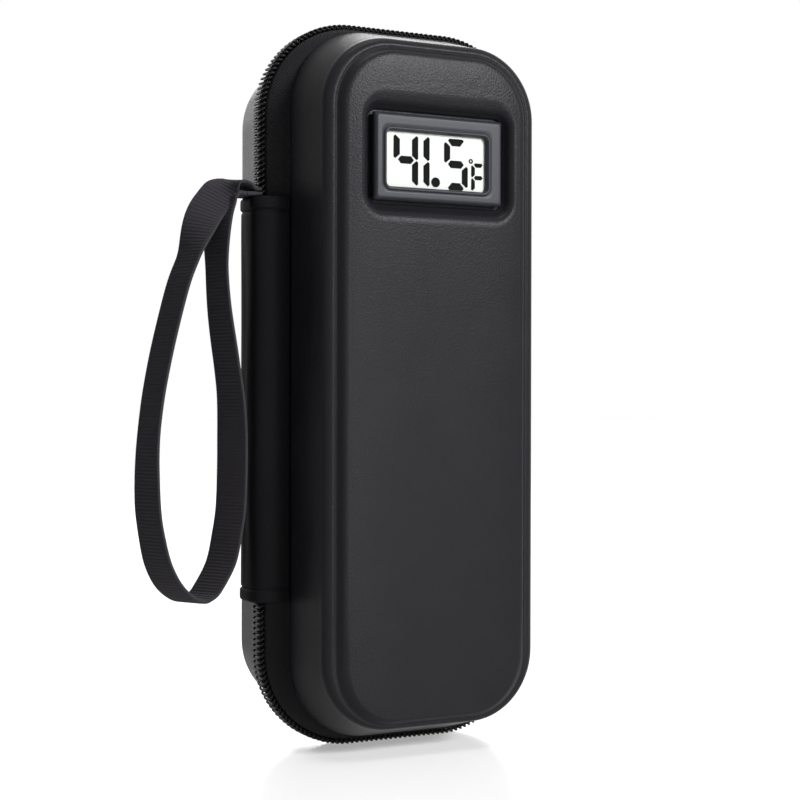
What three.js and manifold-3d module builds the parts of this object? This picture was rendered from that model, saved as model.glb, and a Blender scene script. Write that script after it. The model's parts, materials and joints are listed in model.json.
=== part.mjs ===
import * as THREE from 'three';
import { mergeVertices } from 'three/addons/utils/BufferGeometryUtils.js';
import Module from 'manifold-3d';

// Insulin cooling case: two moulded shells joined by a leather spine and a zip, with a
// thermometer in the lid. Millimetres. X to the viewer's right, -Y to the front, +Z up.
// The case stands on the crown of its zip, with the origin in the middle of that foot.

// Driving dimensions

const CLEARANCE = 0.3;
const OVERRUN = 3;
const CORNER_STEPS = 7;

const CASE_WIDTH = 102;
const CASE_HEIGHT = 244.4;
const CROWN_RADIUS = 33;
const CENTRE_Z = CASE_HEIGHT / 2;

// Zip: two rows of teeth that meet on a parting line a little in front of the middle
const CHAIN_HALF = 4;
const COIL_THICKNESS = 2.1;
const COIL_ROUND = 0.5;
const PARTING_Y = -1.05;
const TAPE_THICKNESS = 1.3;

// Woven band between the zip and each shell
const BAND_EDGE_DEPTH = 4.4;
const BAND_FLANGE_DEPTH = 7.7;
const BAND_LIP = 1.4;

// Front shell, which is the lid
const FRONT_FLANGE = { inset: 8.6, endInset: 3.5, radius: 27.5 };
const FRONT_RIM = { inset: 11.5, endInset: 8.8, radius: 23.5, depth: 26.4 };
const FRONT_FACE_DEPTH = 32.4;

// Rear shell, which holds the pens
const REAR_FLANGE = { inset: 6.8, endInset: 3.2, radius: 28.5 };
const REAR_RIM = { inset: 7.9, endInset: 8.2, radius: 24.5, depth: 31.6 };
const REAR_FACE_DEPTH = 37.2;

// The moulded step that runs round each face
const RIM_ROUND = 3.3;
const RIM_ROUND_STEPS = 4;
const GROOVE_INSET = 3.9;
const GROOVE_DROP = 0.15;
const STEP_FOOT_INSET = 4.4;
const STEP_FOOT_DROP = 0.05;
const STEP_SHOULDER_INSET = 5.9;
const STEP_SHOULDER_DROP = 0.8;
const STEP_EDGE_INSET = 6.9;
const STEP_EDGE_DROP = 0.15;
const FACE_INSET = 8.4;
const END_INSET_SHARE = 0.55;
const CORNER_INSET_SHARE = 0.75;
const END_MITRE_SHARE = 0.5;

// Walls and linings
const SHELL_WALL = 3.4;
const FACE_WALL = 5.4;
const REAR_FACE_WALL = 4.4;
const INNER_ROUND = 2;
const LINER_THICKNESS = 1.5;

// Display and its module
const BEZEL_WIDTH = 48;
const BEZEL_HEIGHT = 28.6;
const BEZEL_THICKNESS = 2.3;
const BEZEL_CHAMFER = 1;
const BEZEL_X = 1.25;
const BEZEL_DROP = 48;
const BEZEL_SINK = 0.7;
const BEZEL_CORNER = 0.8;
const BEZEL_FRAME = 1.2;
const WINDOW_WIDTH = 37.2;
const WINDOW_HEIGHT = 18;
const WINDOW_X = -0.85;
const WINDOW_Z = -0.7;
const WINDOW_RADIUS = 1.6;
const BASIN_MARGIN = { side: 1.4, end: 1.2 };
const BASIN_FLARE = 3.6;
const BASIN_RADIUS = 3.5;
const LCD_WIDTH = 42;
const LCD_HEIGHT = 23;
const LCD_THICKNESS = 1.9;
const MODULE_WIDTH = 45.4;
const MODULE_HEIGHT = 26;
const MODULE_BACK_DEPTH = 14.5;
const MODULE_WALL = 1.4;
const RETAINER_MARGIN = 4.2;
const RETAINER_THICKNESS = 2;

// Electronics inside the module
const ZEBRA = { width: 38, height: 1.8, thickness: 1.1 };
const BOARD_THICKNESS = 1.2;
const CHIP = { width: 7, height: 7, thickness: 1 };
const CELL_RADIUS = 5.8;
const CELL_THICKNESS = 5.4;
const CELL_PITCH = 12.5;
const CELL_Z = 2.5;
const CRADLE_MARGIN = 1;
const CONTACT = { width: 22, height: 7, sheet: 0.4 };
const SWITCH = { size: 5, thickness: 3 };
const SIDE_FITTING_X = 18.5;
const BUTTON_RADIUS = 2;
const BUTTON_PROUD = 1.1;
const BUTTON_COLLAR_RADIUS = 2.8;
const BUTTON_COLLAR_THICKNESS = 1;
const BUTTON_TRAVEL = 0.6;
const SENSOR_RADIUS = 2;
const SENSOR_LENGTH = 9.5;
const SENSOR_PROUD = 5.6;
const GROMMET_RADIUS = 3.1;
const GROMMET_THICKNESS = 1.5;
const DOOR = { width: 27, height: 16.5, thickness: 1.3, grip: 0.6 };
const DOOR_RAIL = { width: 1.2, lip: 1, lipThickness: 0.8 };

// Cold packs, pocket and pen holder
const FRONT_PACK_THICKNESS = 12.6;
const PACK_SIDE_INSET = 18;
const FRONT_PACK_DROP = 91.8;
const REAR_PACK_END_INSET = 26.2;
const PACK_RADIUS = 14;
const PACK_WELD = 1.2;
const PACK_WELD_WIDTH = 4;
const PACK_SHOULDER_SHARE = 0.75;
const POCKET_DEPTH = 10.4;
const POCKET_THICKNESS = 0.8;
const POCKET_DROP = 78.4;
const BINDING_HEIGHT = 7;
const BINDING_THICKNESS = 1.8;
const PEN_PANEL_Y = 13.8;
const PEN_PANEL_THICKNESS = 2.8;
const PEN_RADIUS = 9.3;
const PEN_PITCH = 23;
const PEN_COUNT = 3;
const PEN_RISE = 8.6;
const PEN_LOOP_THICKNESS = 1;
const PEN_LOOP_HEIGHT = 22;
const PEN_LOOP_FOOT = 3;
const PEN_LOOP_STEPS = 8;
const PEN_LOOP_UPPER_DROP = 72.4;
const PEN_LOOP_LOWER_RISE = 74;

// Leather spine that hinges the lid
const SPINE_RISE = 50.2;
const SPINE_DROP = 60.4;
const SPINE_PROUD = 4.2;
const SPINE_HALF = 7.2;
const SPINE_THICKNESS = 1.4;
const SPINE_BEND = 3.4;
const SPINE_BEND_STEPS = 4;
const SPINE_LEG = 3.6;
const LINING_THICKNESS = 0.7;
const FLAP_THICKNESS = 1.2;
const FLAP_DEPTH = 8.1;
const FLAP_SLOPE = 0.4;

// Wrist strap of ribbed webbing
const STRAP_WIDTH = 12.5;
const STRAP_THICKNESS = 1.2;
const STRAP_TWIST = THREE.MathUtils.degToRad(30);
const STRAP_REACH = 32.6;
const STRAP_DROP = 137.8;
const STRAP_ROOT_OUT = 1.2;
const STRAP_ROOT_RISE = 3.6;
const STRAP_STEPS = 60;

// Zip sliders and their pulls
const SLIDER_LENGTH = 13;
const SLIDER_HALF = 5;
const SLIDER_NOSE_HALF = 3.4;
const SLIDER_PLATE = 1.3;
const SLIDER_FLANGE = 0.8;
const SLIDER_FLANGE_DROP = 1.7;
const SLIDER_MEET_ABOVE_CENTRE = 5.8;
const BAIL = { half: 1.1, length: 5.6, height: 3.2, bar: 0.9 };
const BAIL_SHARE = 0.72;
const PULL = { length: 14.5, half: 3.1, thickness: 1.2, rod: 0.55, arm: 1.1, window: 3.6 };

// Named levels worked out from the driving dimensions

const HALF_WIDTH = CASE_WIDTH / 2;
const HALF_HEIGHT = CASE_HEIGHT / 2;
const BEZEL_Z = CASE_HEIGHT - BEZEL_DROP;
const POCKET_TOP_Z = CASE_HEIGHT - POCKET_DROP;
const SPINE_TOP_Z = CASE_HEIGHT - SPINE_DROP;
const SPINE_BOTTOM_Z = SPINE_RISE;
const SLIDER_MEET_Z = CENTRE_Z + SLIDER_MEET_ABOVE_CENTRE;
const TAPE_OUTSIDE = COIL_THICKNESS + CLEARANCE;
const SHELL_START = BAND_FLANGE_DEPTH + CLEARANCE;
const FRONT_FLOOR = FRONT_FACE_DEPTH - FACE_WALL;
const REAR_FLOOR = REAR_FACE_DEPTH - REAR_FACE_WALL;
const BEZEL_FRONT = FRONT_FACE_DEPTH - BEZEL_SINK;
const BEZEL_BACK = BEZEL_FRONT - BEZEL_THICKNESS;
const BASIN_FLOOR = BEZEL_BACK - CLEARANCE;
const LCD_FRONT = BEZEL_FRONT - BEZEL_FRAME - CLEARANCE;
const LCD_BACK = LCD_FRONT - LCD_THICKNESS;
const ZEBRA_FRONT = LCD_BACK - CLEARANCE;
const BOARD_FRONT = ZEBRA_FRONT - ZEBRA.thickness - CLEARANCE;
const BOARD_BACK = BOARD_FRONT - BOARD_THICKNESS;
const PARTS_FRONT = BOARD_BACK - CLEARANCE;
const CELL_BACK = MODULE_BACK_DEPTH + CLEARANCE;
const CELL_FRONT = CELL_BACK + CELL_THICKNESS;
const MODULE_INSIDE = MODULE_BACK_DEPTH + MODULE_WALL;
const MODULE_FRONT = BASIN_FLOOR;
const DOOR_OUTSIDE = MODULE_BACK_DEPTH - CLEARANCE - DOOR.thickness;

const wasm = await Module();
wasm.setup();

// Geometry helpers

function outline(halfWidth, halfHeight, radius, steps = CORNER_STEPS) {
  const points = [];
  const corners = [[1, 1], [-1, 1], [-1, -1], [1, -1]];
  corners.forEach(([sideX, sideZ], quarter) => {
    for (let step = 0; step <= steps; step += 1) {
      const angle = (quarter + step / steps) * Math.PI / 2;
      points.push([
        sideX * (halfWidth - radius) + radius * Math.cos(angle),
        sideZ * (halfHeight - radius) + radius * Math.sin(angle),
      ]);
    }
  });
  return points;
}

function ring(station, centre, steps) {
  const { side, end, radius, y } = station;
  return outline(side, end, radius, steps).map(([x, z]) => new THREE.Vector3(centre.x + x, y, centre.z + z));
}

function signedVolume(positions, indices) {
  let volume = 0;
  for (let i = 0; i < indices.length; i += 3) {
    const [a, b, c] = [positions[indices[i]], positions[indices[i + 1]], positions[indices[i + 2]]];
    volume += a.dot(b.clone().cross(c));
  }
  return volume;
}

function bufferFrom(positions, indices) {
  const outward = signedVolume(positions, indices) > 0 ? indices : indices.toReversed();
  const geometry = new THREE.BufferGeometry();
  const numbers = positions.flatMap((point) => point.toArray());
  geometry.setAttribute('position', new THREE.Float32BufferAttribute(numbers, 3));
  geometry.setIndex(outward);
  return geometry;
}

// Skins a row of equal sections; a loop joins the last section to the first, an open row gets caps
function skin(sections, loop = false) {
  const count = sections[0].length;
  const positions = sections.flat();
  const indices = [];
  const spans = loop ? sections.length : sections.length - 1;
  for (let i = 0; i < spans; i += 1) {
    const near = i * count;
    const far = ((i + 1) % sections.length) * count;
    for (let j = 0; j < count; j += 1) {
      const next = (j + 1) % count;
      indices.push(near + j, near + next, far + next);
      indices.push(near + j, far + next, far + j);
    }
  }
  if (!loop) {
    const last = (sections.length - 1) * count;
    for (let j = 1; j < count - 1; j += 1) {
      indices.push(0, j + 1, j);
      indices.push(last, last + j, last + j + 1);
    }
  }
  return bufferFrom(positions, indices);
}

function loft(stations, { centre = { x: 0, z: CENTRE_Z }, loop = false, steps = CORNER_STEPS } = {}) {
  return skin(stations.map((station) => ring(station, centre, steps)), loop);
}

// A flat block with rounded corners between two levels of Y
function slab({ x = 0, z = CENTRE_Z, width, height, radius = 0, from, to, steps = 3 }) {
  const end = { side: width / 2, end: height / 2, radius };
  const sections = radius > 0 ? steps : 1;
  if (radius > 0) {
    return loft([{ ...end, y: from }, { ...end, y: to }], { centre: { x, z }, steps: sections });
  }
  const block = new THREE.BoxGeometry(width, Math.abs(to - from), height);
  return block.translate(x, (from + to) / 2, z);
}

// A round bar along Y between two levels
function bar({ x, z, radius, from, to, sides = 20 }) {
  const cylinder = new THREE.CylinderGeometry(radius, radius, Math.abs(to - from), sides);
  return cylinder.translate(x, (from + to) / 2, z);
}

function solidOf(geometry) {
  const bare = geometry.clone();
  bare.deleteAttribute('normal');
  bare.deleteAttribute('uv');
  const merged = mergeVertices(bare);
  const vertProperties = new Float32Array(merged.attributes.position.array);
  const triVerts = new Uint32Array(merged.index.array);
  return new wasm.Manifold(new wasm.Mesh({ numProp: 3, vertProperties, triVerts }));
}

function geometryOf(solid) {
  const mesh = solid.getMesh();
  const geometry = new THREE.BufferGeometry();
  geometry.setAttribute('position', new THREE.BufferAttribute(new Float32Array(mesh.vertProperties), 3));
  geometry.setIndex(new THREE.BufferAttribute(new Uint32Array(mesh.triVerts), 1));
  return geometry;
}

function cut(geometry, ...tools) {
  return geometryOf(tools.reduce((solid, tool) => solid.subtract(solidOf(tool)), solidOf(geometry)));
}

function join(geometry, ...others) {
  return geometryOf(others.reduce((solid, other) => solid.add(solidOf(other)), solidOf(geometry)));
}

// The outline of a strip of even thickness along a bent centre line, mitred at each bend
function strip(line, thickness) {
  const sides = [[], []];
  line.forEach((point, i) => {
    const before = line[Math.max(i - 1, 0)];
    const after = line[Math.min(i + 1, line.length - 1)];
    const arrive = point.clone().sub(i > 0 ? before : point);
    const leave = after.clone().sub(i < line.length - 1 ? point : after);
    const first = (i > 0 ? arrive : leave).normalize();
    const second = (i < line.length - 1 ? leave : arrive).normalize();
    const middle = first.clone().add(second).normalize();
    const normal = new THREE.Vector2(-middle.y, middle.x);
    const reach = (thickness / 2) / Math.max(middle.dot(first), END_MITRE_SHARE);
    sides[0].push(point.clone().addScaledVector(normal, reach));
    sides[1].push(point.clone().addScaledVector(normal, -reach));
  });
  return new THREE.Shape([...sides[0], ...sides[1].reverse()]);
}

function riseAlongZ(shape, bottom, top) {
  const geometry = new THREE.ExtrudeGeometry(shape, { depth: top - bottom, bevelEnabled: false });
  return geometry.translate(0, 0, bottom);
}

// Finishes

const finishes = {
  leather: { color: 0x2f2f33, roughness: 0.62, metalness: 0 },
  webbing: { color: 0x1d1d20, roughness: 0.85, metalness: 0 },
  tape: { color: 0x131315, roughness: 0.9, metalness: 0 },
  coil: { color: 0x17171a, roughness: 0.4, metalness: 0 },
  lining: { color: 0x3b3d42, roughness: 0.9, metalness: 0 },
  foil: { color: 0xb9bdc2, roughness: 0.35, metalness: 0.6 },
  gel: { color: 0x9cc6e6, roughness: 0.25, metalness: 0 },
  mesh: { color: 0x1a1a1c, roughness: 0.8, metalness: 0 },
  elastic: { color: 0x222226, roughness: 0.8, metalness: 0 },
  bezel: { color: 0x4a4c56, roughness: 0.45, metalness: 0 },
  plastic: { color: 0x26272b, roughness: 0.5, metalness: 0 },
  lcd: { color: 0xd0d2ce, roughness: 0.3, metalness: 0 },
  board: { color: 0x1f5a3a, roughness: 0.5, metalness: 0 },
  rubber: { color: 0x2a2a2c, roughness: 0.75, metalness: 0 },
  steel: { color: 0xb8babd, roughness: 0.3, metalness: 1 },
  paintedMetal: { color: 0x1b1b1d, roughness: 0.35, metalness: 0.7 },
};

const caseGroup = new THREE.Group();

function part(name, geometry, finish) {
  const mesh = new THREE.Mesh(geometry, new THREE.MeshStandardMaterial(finishes[finish]));
  mesh.name = name;
  caseGroup.add(mesh);
  return mesh;
}

// Shells

function level(inset, endInset, radius, y) {
  return { side: HALF_WIDTH - inset, end: HALF_HEIGHT - endInset, radius, y };
}

function stepInside(rim, inset, y) {
  const endInset = inset * END_INSET_SHARE;
  const radius = rim.radius - inset * CORNER_INSET_SHARE;
  return level(rim.inset + inset, rim.endInset + endInset, radius, y);
}

function outerStations(flange, rim, faceDepth, facing) {
  const crest = rim.depth + RIM_ROUND;
  const stations = [level(flange.inset, flange.endInset, flange.radius, facing * SHELL_START)];
  for (let i = 0; i <= RIM_ROUND_STEPS; i += 1) {
    const angle = (i / RIM_ROUND_STEPS) * Math.PI / 2;
    const inset = RIM_ROUND * (1 - Math.cos(angle));
    const depth = rim.depth + RIM_ROUND * Math.sin(angle);
    stations.push(stepInside(rim, inset, facing * depth));
  }
  stations.push(stepInside(rim, GROOVE_INSET, facing * (crest - GROOVE_DROP)));
  stations.push(stepInside(rim, STEP_FOOT_INSET, facing * (crest - STEP_FOOT_DROP)));
  stations.push(stepInside(rim, STEP_SHOULDER_INSET, facing * (faceDepth - STEP_SHOULDER_DROP)));
  stations.push(stepInside(rim, STEP_EDGE_INSET, facing * (faceDepth - STEP_EDGE_DROP)));
  stations.push(stepInside(rim, FACE_INSET, facing * faceDepth));
  return stations;
}

function offsetStation(station, inset, y) {
  const { side, end, radius } = station;
  return { side: side - inset, end: end - inset, radius: radius - inset, y };
}

// The inside of a shell or liner: flange, foot of the wall, and floor
function innerStations(flange, rim, inset, floorDepth, facing) {
  const start = level(flange.inset, flange.endInset, flange.radius, 0);
  const foot = level(rim.inset, rim.endInset, rim.radius, 0);
  return [
    offsetStation(start, inset, facing * SHELL_START),
    offsetStation(foot, inset, facing * (floorDepth - INNER_ROUND)),
    offsetStation(foot, inset + INNER_ROUND, facing * floorDepth),
  ];
}

function shell(flange, rim, faceDepth, floorDepth, facing) {
  const inside = innerStations(flange, rim, SHELL_WALL, floorDepth, facing);
  const outside = outerStations(flange, rim, faceDepth, facing);
  return loft([...inside.reverse(), ...outside]);
}

function liner(flange, rim, floorDepth, facing) {
  const outer = SHELL_WALL + CLEARANCE;
  const skinFloor = floorDepth - CLEARANCE;
  const outside = innerStations(flange, rim, outer, skinFloor, facing);
  const inside = innerStations(flange, rim, outer + LINER_THICKNESS, skinFloor - LINER_THICKNESS, facing);
  return loft([...inside.reverse(), ...outside]);
}

// The display sits in a soft basin pressed into the lid, over a cut-out for its module
function displayBasin() {
  const side = BEZEL_WIDTH / 2 + BASIN_MARGIN.side;
  const end = BEZEL_HEIGHT / 2 + BASIN_MARGIN.end;
  const rise = FRONT_FACE_DEPTH - BASIN_FLOOR;
  const over = 1 + OVERRUN / rise;
  const stations = [
    { side, end, radius: BASIN_RADIUS, y: -BASIN_FLOOR },
    {
      side: side + BASIN_FLARE * over,
      end: end + BASIN_FLARE * over,
      radius: BASIN_RADIUS + BASIN_FLARE * over,
      y: -(BASIN_FLOOR + rise * over),
    },
  ];
  return loft(stations, { centre: { x: BEZEL_X, z: BEZEL_Z } });
}

function moduleCutout(margin, from, to) {
  return slab({
    x: BEZEL_X,
    z: BEZEL_Z,
    width: MODULE_WIDTH + 2 * margin,
    height: MODULE_HEIGHT + 2 * margin,
    from: -from,
    to: -to,
  });
}

// The frame that clamps the module spans the lid's inner floor from wall to wall
function retainerBlock(margin, from, to) {
  const wallInset = FRONT_RIM.inset + SHELL_WALL + INNER_ROUND + CLEARANCE;
  return slab({
    z: BEZEL_Z,
    width: 2 * (HALF_WIDTH - wallInset + margin),
    height: MODULE_HEIGHT + 2 * (RETAINER_MARGIN + margin),
    from: -from,
    to: -to,
  });
}

function buildShells() {
  const lid = shell(FRONT_FLANGE, FRONT_RIM, FRONT_FACE_DEPTH, FRONT_FLOOR, -1);
  const moduleHole = moduleCutout(CLEARANCE, FRONT_FLOOR - OVERRUN, FRONT_FACE_DEPTH + OVERRUN);
  part('front_shell', cut(lid, displayBasin(), moduleHole), 'leather');
  part('rear_shell', shell(REAR_FLANGE, REAR_RIM, REAR_FACE_DEPTH, REAR_FLOOR, 1), 'leather');

  const lidLiner = liner(FRONT_FLANGE, FRONT_RIM, FRONT_FLOOR, -1);
  const retainerHole = retainerBlock(
    CLEARANCE,
    FRONT_FLOOR - LINER_THICKNESS - OVERRUN,
    FRONT_FLOOR + OVERRUN,
  );
  part('front_liner', cut(lidLiner, retainerHole), 'foil');
  part('rear_liner', liner(REAR_FLANGE, REAR_RIM, REAR_FLOOR, 1), 'foil');
}

// Zip chain and the bands that carry it

function crownLevel(inset, y) {
  return level(inset, inset, CROWN_RADIUS - inset, y);
}

function bandStations(flange, facing, seam) {
  const flangeOut = (extra, y) => level(
    flange.inset + extra,
    flange.endInset + extra,
    flange.radius - extra,
    facing * y,
  );
  return [
    crownLevel(TAPE_OUTSIDE, seam),
    crownLevel(TAPE_OUTSIDE, facing * BAND_EDGE_DEPTH),
    flangeOut(0, BAND_FLANGE_DEPTH),
    flangeOut(BAND_LIP, BAND_FLANGE_DEPTH),
    flangeOut(BAND_LIP, BAND_FLANGE_DEPTH - TAPE_THICKNESS),
    crownLevel(TAPE_OUTSIDE + TAPE_THICKNESS, facing * (BAND_EDGE_DEPTH - TAPE_THICKNESS)),
    crownLevel(TAPE_OUTSIDE + TAPE_THICKNESS, seam),
  ];
}

function coilStations(facing, seam) {
  const edge = facing * CHAIN_HALF;
  return [
    crownLevel(COIL_THICKNESS, seam),
    crownLevel(0, seam),
    crownLevel(0, edge - facing * COIL_ROUND),
    crownLevel(COIL_ROUND, edge),
    crownLevel(COIL_THICKNESS, edge),
  ];
}

// The teeth stop where the leather spine takes over
function spineGap() {
  const height = SPINE_TOP_Z - SPINE_BOTTOM_Z + 2 * CLEARANCE;
  return slab({
    x: -HALF_WIDTH,
    z: (SPINE_TOP_Z + SPINE_BOTTOM_Z) / 2,
    width: 2 * CROWN_RADIUS,
    height,
    from: -CHAIN_HALF - OVERRUN,
    to: CHAIN_HALF + OVERRUN,
  });
}

function buildZip() {
  const rearSeam = PARTING_Y + CLEARANCE / 2;
  const frontSeam = PARTING_Y - CLEARANCE / 2;
  part('front_band', loft(bandStations(FRONT_FLANGE, -1, frontSeam), { loop: true }), 'tape');
  part('rear_band', loft(bandStations(REAR_FLANGE, 1, rearSeam), { loop: true }), 'tape');
  part('front_coil', cut(loft(coilStations(-1, frontSeam), { loop: true }), spineGap()), 'coil');
  part('rear_coil', cut(loft(coilStations(1, rearSeam), { loop: true }), spineGap()), 'coil');
}

// Sliders park head to head on the right-hand run, with their pulls hanging

function sliderBody(up) {
  const plateX = HALF_WIDTH + CLEARANCE;
  const shape = new THREE.Shape([
    new THREE.Vector2(-SLIDER_NOSE_HALF, 0),
    new THREE.Vector2(SLIDER_NOSE_HALF, 0),
    new THREE.Vector2(SLIDER_HALF, SLIDER_LENGTH / 2),
    new THREE.Vector2(SLIDER_HALF, SLIDER_LENGTH),
    new THREE.Vector2(-SLIDER_HALF, SLIDER_LENGTH),
    new THREE.Vector2(-SLIDER_HALF, SLIDER_LENGTH / 2),
  ]);
  const plate = new THREE.ExtrudeGeometry(shape, { depth: SLIDER_PLATE, bevelEnabled: false });
  plate.rotateY(Math.PI / 2).rotateX(Math.PI / 2);
  plate.translate(plateX, 0, 0);
  if (!up) plate.rotateX(Math.PI);
  const flangeY = CHAIN_HALF + CLEARANCE;
  const flangeLength = SLIDER_LENGTH / 2;
  const flangeHeight = SLIDER_FLANGE_DROP + CLEARANCE + SLIDER_PLATE;
  const flange = new THREE.BoxGeometry(flangeHeight, SLIDER_FLANGE, flangeLength);
  const flangeX = plateX + SLIDER_PLATE - flangeHeight / 2;
  const outerHalf = (up ? 1 : -1) * (SLIDER_LENGTH - flangeLength / 2);
  flange.translate(flangeX, flangeY + SLIDER_FLANGE / 2, outerHalf);
  return join(plate, flange, bail(up));
}

function bailCentre(up) {
  return (up ? 1 : -1) * SLIDER_LENGTH * BAIL_SHARE;
}

// A low bridge over the slider that the pull hooks under
function bail(up) {
  const base = HALF_WIDTH + CLEARANCE + SLIDER_PLATE;
  const sink = SLIDER_PLATE / 2;
  const bridge = new THREE.BoxGeometry(BAIL.height + sink, 2 * BAIL.half, BAIL.length);
  bridge.translate(base + (BAIL.height - sink) / 2, 0, bailCentre(up));
  const hollowHeight = BAIL.height - BAIL.bar;
  const hollow = new THREE.BoxGeometry(hollowHeight, 2 * BAIL.half + OVERRUN, BAIL.length - 2 * BAIL.bar);
  hollow.translate(base + hollowHeight / 2, 0, bailCentre(up));
  return cut(bridge, hollow);
}

function pullTab() {
  const outer = new THREE.BoxGeometry(PULL.thickness, 2 * PULL.half, PULL.length);
  outer.translate(0, 0, PULL.rod - PULL.length / 2);
  const windowHalf = PULL.half - PULL.arm;
  const window = new THREE.BoxGeometry(PULL.thickness + OVERRUN, 2 * windowHalf, PULL.window);
  window.translate(0, 0, -PULL.rod - PULL.window / 2);
  return cut(outer, window);
}

function buildSliders() {
  const pullX = HALF_WIDTH + CLEARANCE + SLIDER_PLATE + CLEARANCE + PULL.thickness / 2;
  [['upper', true], ['lower', false]].forEach(([name, up]) => {
    const meet = SLIDER_MEET_Z + (up ? CLEARANCE : -CLEARANCE) / 2;
    const slider = part(`zip_slider_${name}`, sliderBody(up), 'paintedMetal');
    slider.position.z = meet;
    const pull = part(`zip_pull_${name}`, pullTab(), 'paintedMetal');
    pull.position.set(pullX, 0, meet + bailCentre(up));
  });
}

// Spine: the middle panel turns by itself, a flap is sewn to each shell

function spineLine(inset) {
  const out = -(HALF_WIDTH + SPINE_PROUD - SPINE_THICKNESS / 2 - inset);
  const half = SPINE_HALF - SPINE_THICKNESS / 2 - inset;
  const bend = SPINE_BEND - inset;
  const line = [new THREE.Vector2(out + SPINE_LEG - inset, -half)];
  [-1, 1].forEach((facing) => {
    for (let i = 0; i <= SPINE_BEND_STEPS; i += 1) {
      const share = facing < 0 ? i / SPINE_BEND_STEPS : 1 - i / SPINE_BEND_STEPS;
      const angle = share * Math.PI / 2;
      const x = out + bend * (1 - Math.sin(angle));
      const y = facing * (half - bend + bend * Math.cos(angle));
      line.push(new THREE.Vector2(x, y));
    }
  });
  line.push(new THREE.Vector2(out + SPINE_LEG - inset, half));
  return line;
}

function flapLine(flange, facing) {
  const start = -(HALF_WIDTH + SPINE_PROUD - SPINE_LEG);
  const end = -(HALF_WIDTH - flange.inset + CLEARANCE);
  const depth = FLAP_DEPTH + FLAP_THICKNESS / 2 - CLEARANCE;
  return [
    new THREE.Vector2(start, facing * depth),
    new THREE.Vector2(end, facing * (depth + FLAP_SLOPE)),
  ];
}

function buildSpine() {
  const panel = strip(spineLine(0), SPINE_THICKNESS);
  part('spine_panel', riseAlongZ(panel, SPINE_BOTTOM_Z, SPINE_TOP_Z), 'leather');
  const liningInset = SPINE_THICKNESS / 2 + CLEARANCE + LINING_THICKNESS / 2;
  const lining = strip(spineLine(liningInset), LINING_THICKNESS);
  part('spine_lining', riseAlongZ(lining, SPINE_BOTTOM_Z, SPINE_TOP_Z), 'lining');
  [['front', FRONT_FLANGE, -1], ['rear', REAR_FLANGE, 1]].forEach(([name, flange, facing]) => {
    const flap = strip(flapLine(flange, facing), FLAP_THICKNESS);
    part(`spine_flap_${name}`, riseAlongZ(flap, SPINE_BOTTOM_Z, SPINE_TOP_Z), 'leather');
  });
}

// Wrist strap: its path leaves the root, hangs down and comes back, as shares of reach and drop

const strapPathShares = [
  [0, 0.0058], [0.083, 0.0007], [0.169, 0.0094], [0.286, 0.0385], [0.408, 0.093], [0.542, 0.18],
  [0.653, 0.247], [0.767, 0.346], [0.864, 0.446], [0.936, 0.544], [0.978, 0.65], [0.975, 0.77],
  [0.928, 0.851], [0.856, 0.917], [0.73, 0.969], [0.55, 1], [0.42, 0.992], [0.33, 0.968],
  [0.202, 0.912], [0.138, 0.845], [0.098, 0.779], [0.083, 0.677], [0.086, 0.578], [0.102, 0.511],
  [0.141, 0.443], [0.227, 0.3], [0.255, 0.176], [0.23, 0.118], [0.16, 0.067], [0.08, 0.0385],
  [0.03, 0.0319], [0, 0.0319],
];

// How far the strap is turned towards the front, at even steps along its path
const strapTwistShares = [0, 0.58, 0.54, 0.49, 0.72, 1, 1, 1, 0.68, 0.45, 0];

function smooth(share) {
  const t = THREE.MathUtils.clamp(share, 0, 1);
  return t * t * (3 - 2 * t);
}

function strapYaw(share) {
  const place = share * (strapTwistShares.length - 1);
  const step = Math.min(Math.floor(place), strapTwistShares.length - 2);
  const [from, to] = [strapTwistShares[step], strapTwistShares[step + 1]];
  return STRAP_TWIST * THREE.MathUtils.lerp(from, to, smooth(place - step));
}

function buildStrap() {
  const lowLayer = SPINE_TOP_Z + CLEARANCE + STRAP_THICKNESS / 2;
  const highLayer = lowLayer + STRAP_ROOT_RISE;
  const top = highLayer + strapPathShares[0][1] * STRAP_DROP;
  const root = -(HALF_WIDTH + SPINE_PROUD + STRAP_ROOT_OUT);
  const points = strapPathShares.map(([reach, drop]) => new THREE.Vector3(
    root - CLEARANCE - reach * STRAP_REACH,
    0,
    top - drop * STRAP_DROP,
  ));
  points[points.length - 1].z = lowLayer;
  points[points.length - 2].z = lowLayer;
  const curve = new THREE.CatmullRomCurve3(points, false, 'centripetal');
  const sections = [];
  for (let i = 0; i <= STRAP_STEPS; i += 1) {
    const share = i / STRAP_STEPS;
    const yaw = strapYaw(share);
    const centre = curve.getPointAt(share);
    const across = new THREE.Vector3(-Math.sin(yaw), Math.cos(yaw), 0);
    const flatEnd = i === 0 || i === STRAP_STEPS;
    const tangent = flatEnd ? new THREE.Vector3(1, 0, 0) : curve.getTangentAt(share);
    const normal = across.clone().cross(tangent).normalize();
    if (i === 0) normal.negate();
    const corners = [[1, 1], [1, -1], [-1, -1], [-1, 1]];
    sections.push(corners.map(([w, n]) => centre.clone()
      .addScaledVector(across, w * STRAP_WIDTH / 2)
      .addScaledVector(normal, n * STRAP_THICKNESS / 2)));
  }
  part('wrist_strap', skin(sections), 'webbing');

  const inner = -(HALF_WIDTH + CLEARANCE);
  const tab = new THREE.BoxGeometry(inner - root, STRAP_WIDTH, STRAP_ROOT_RISE + STRAP_THICKNESS);
  tab.translate((inner + root) / 2, 0, (lowLayer + highLayer) / 2);
  part('strap_tab', tab, 'webbing');
}

// Thermometer module

const atDisplay = { x: BEZEL_X, z: BEZEL_Z };

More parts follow.
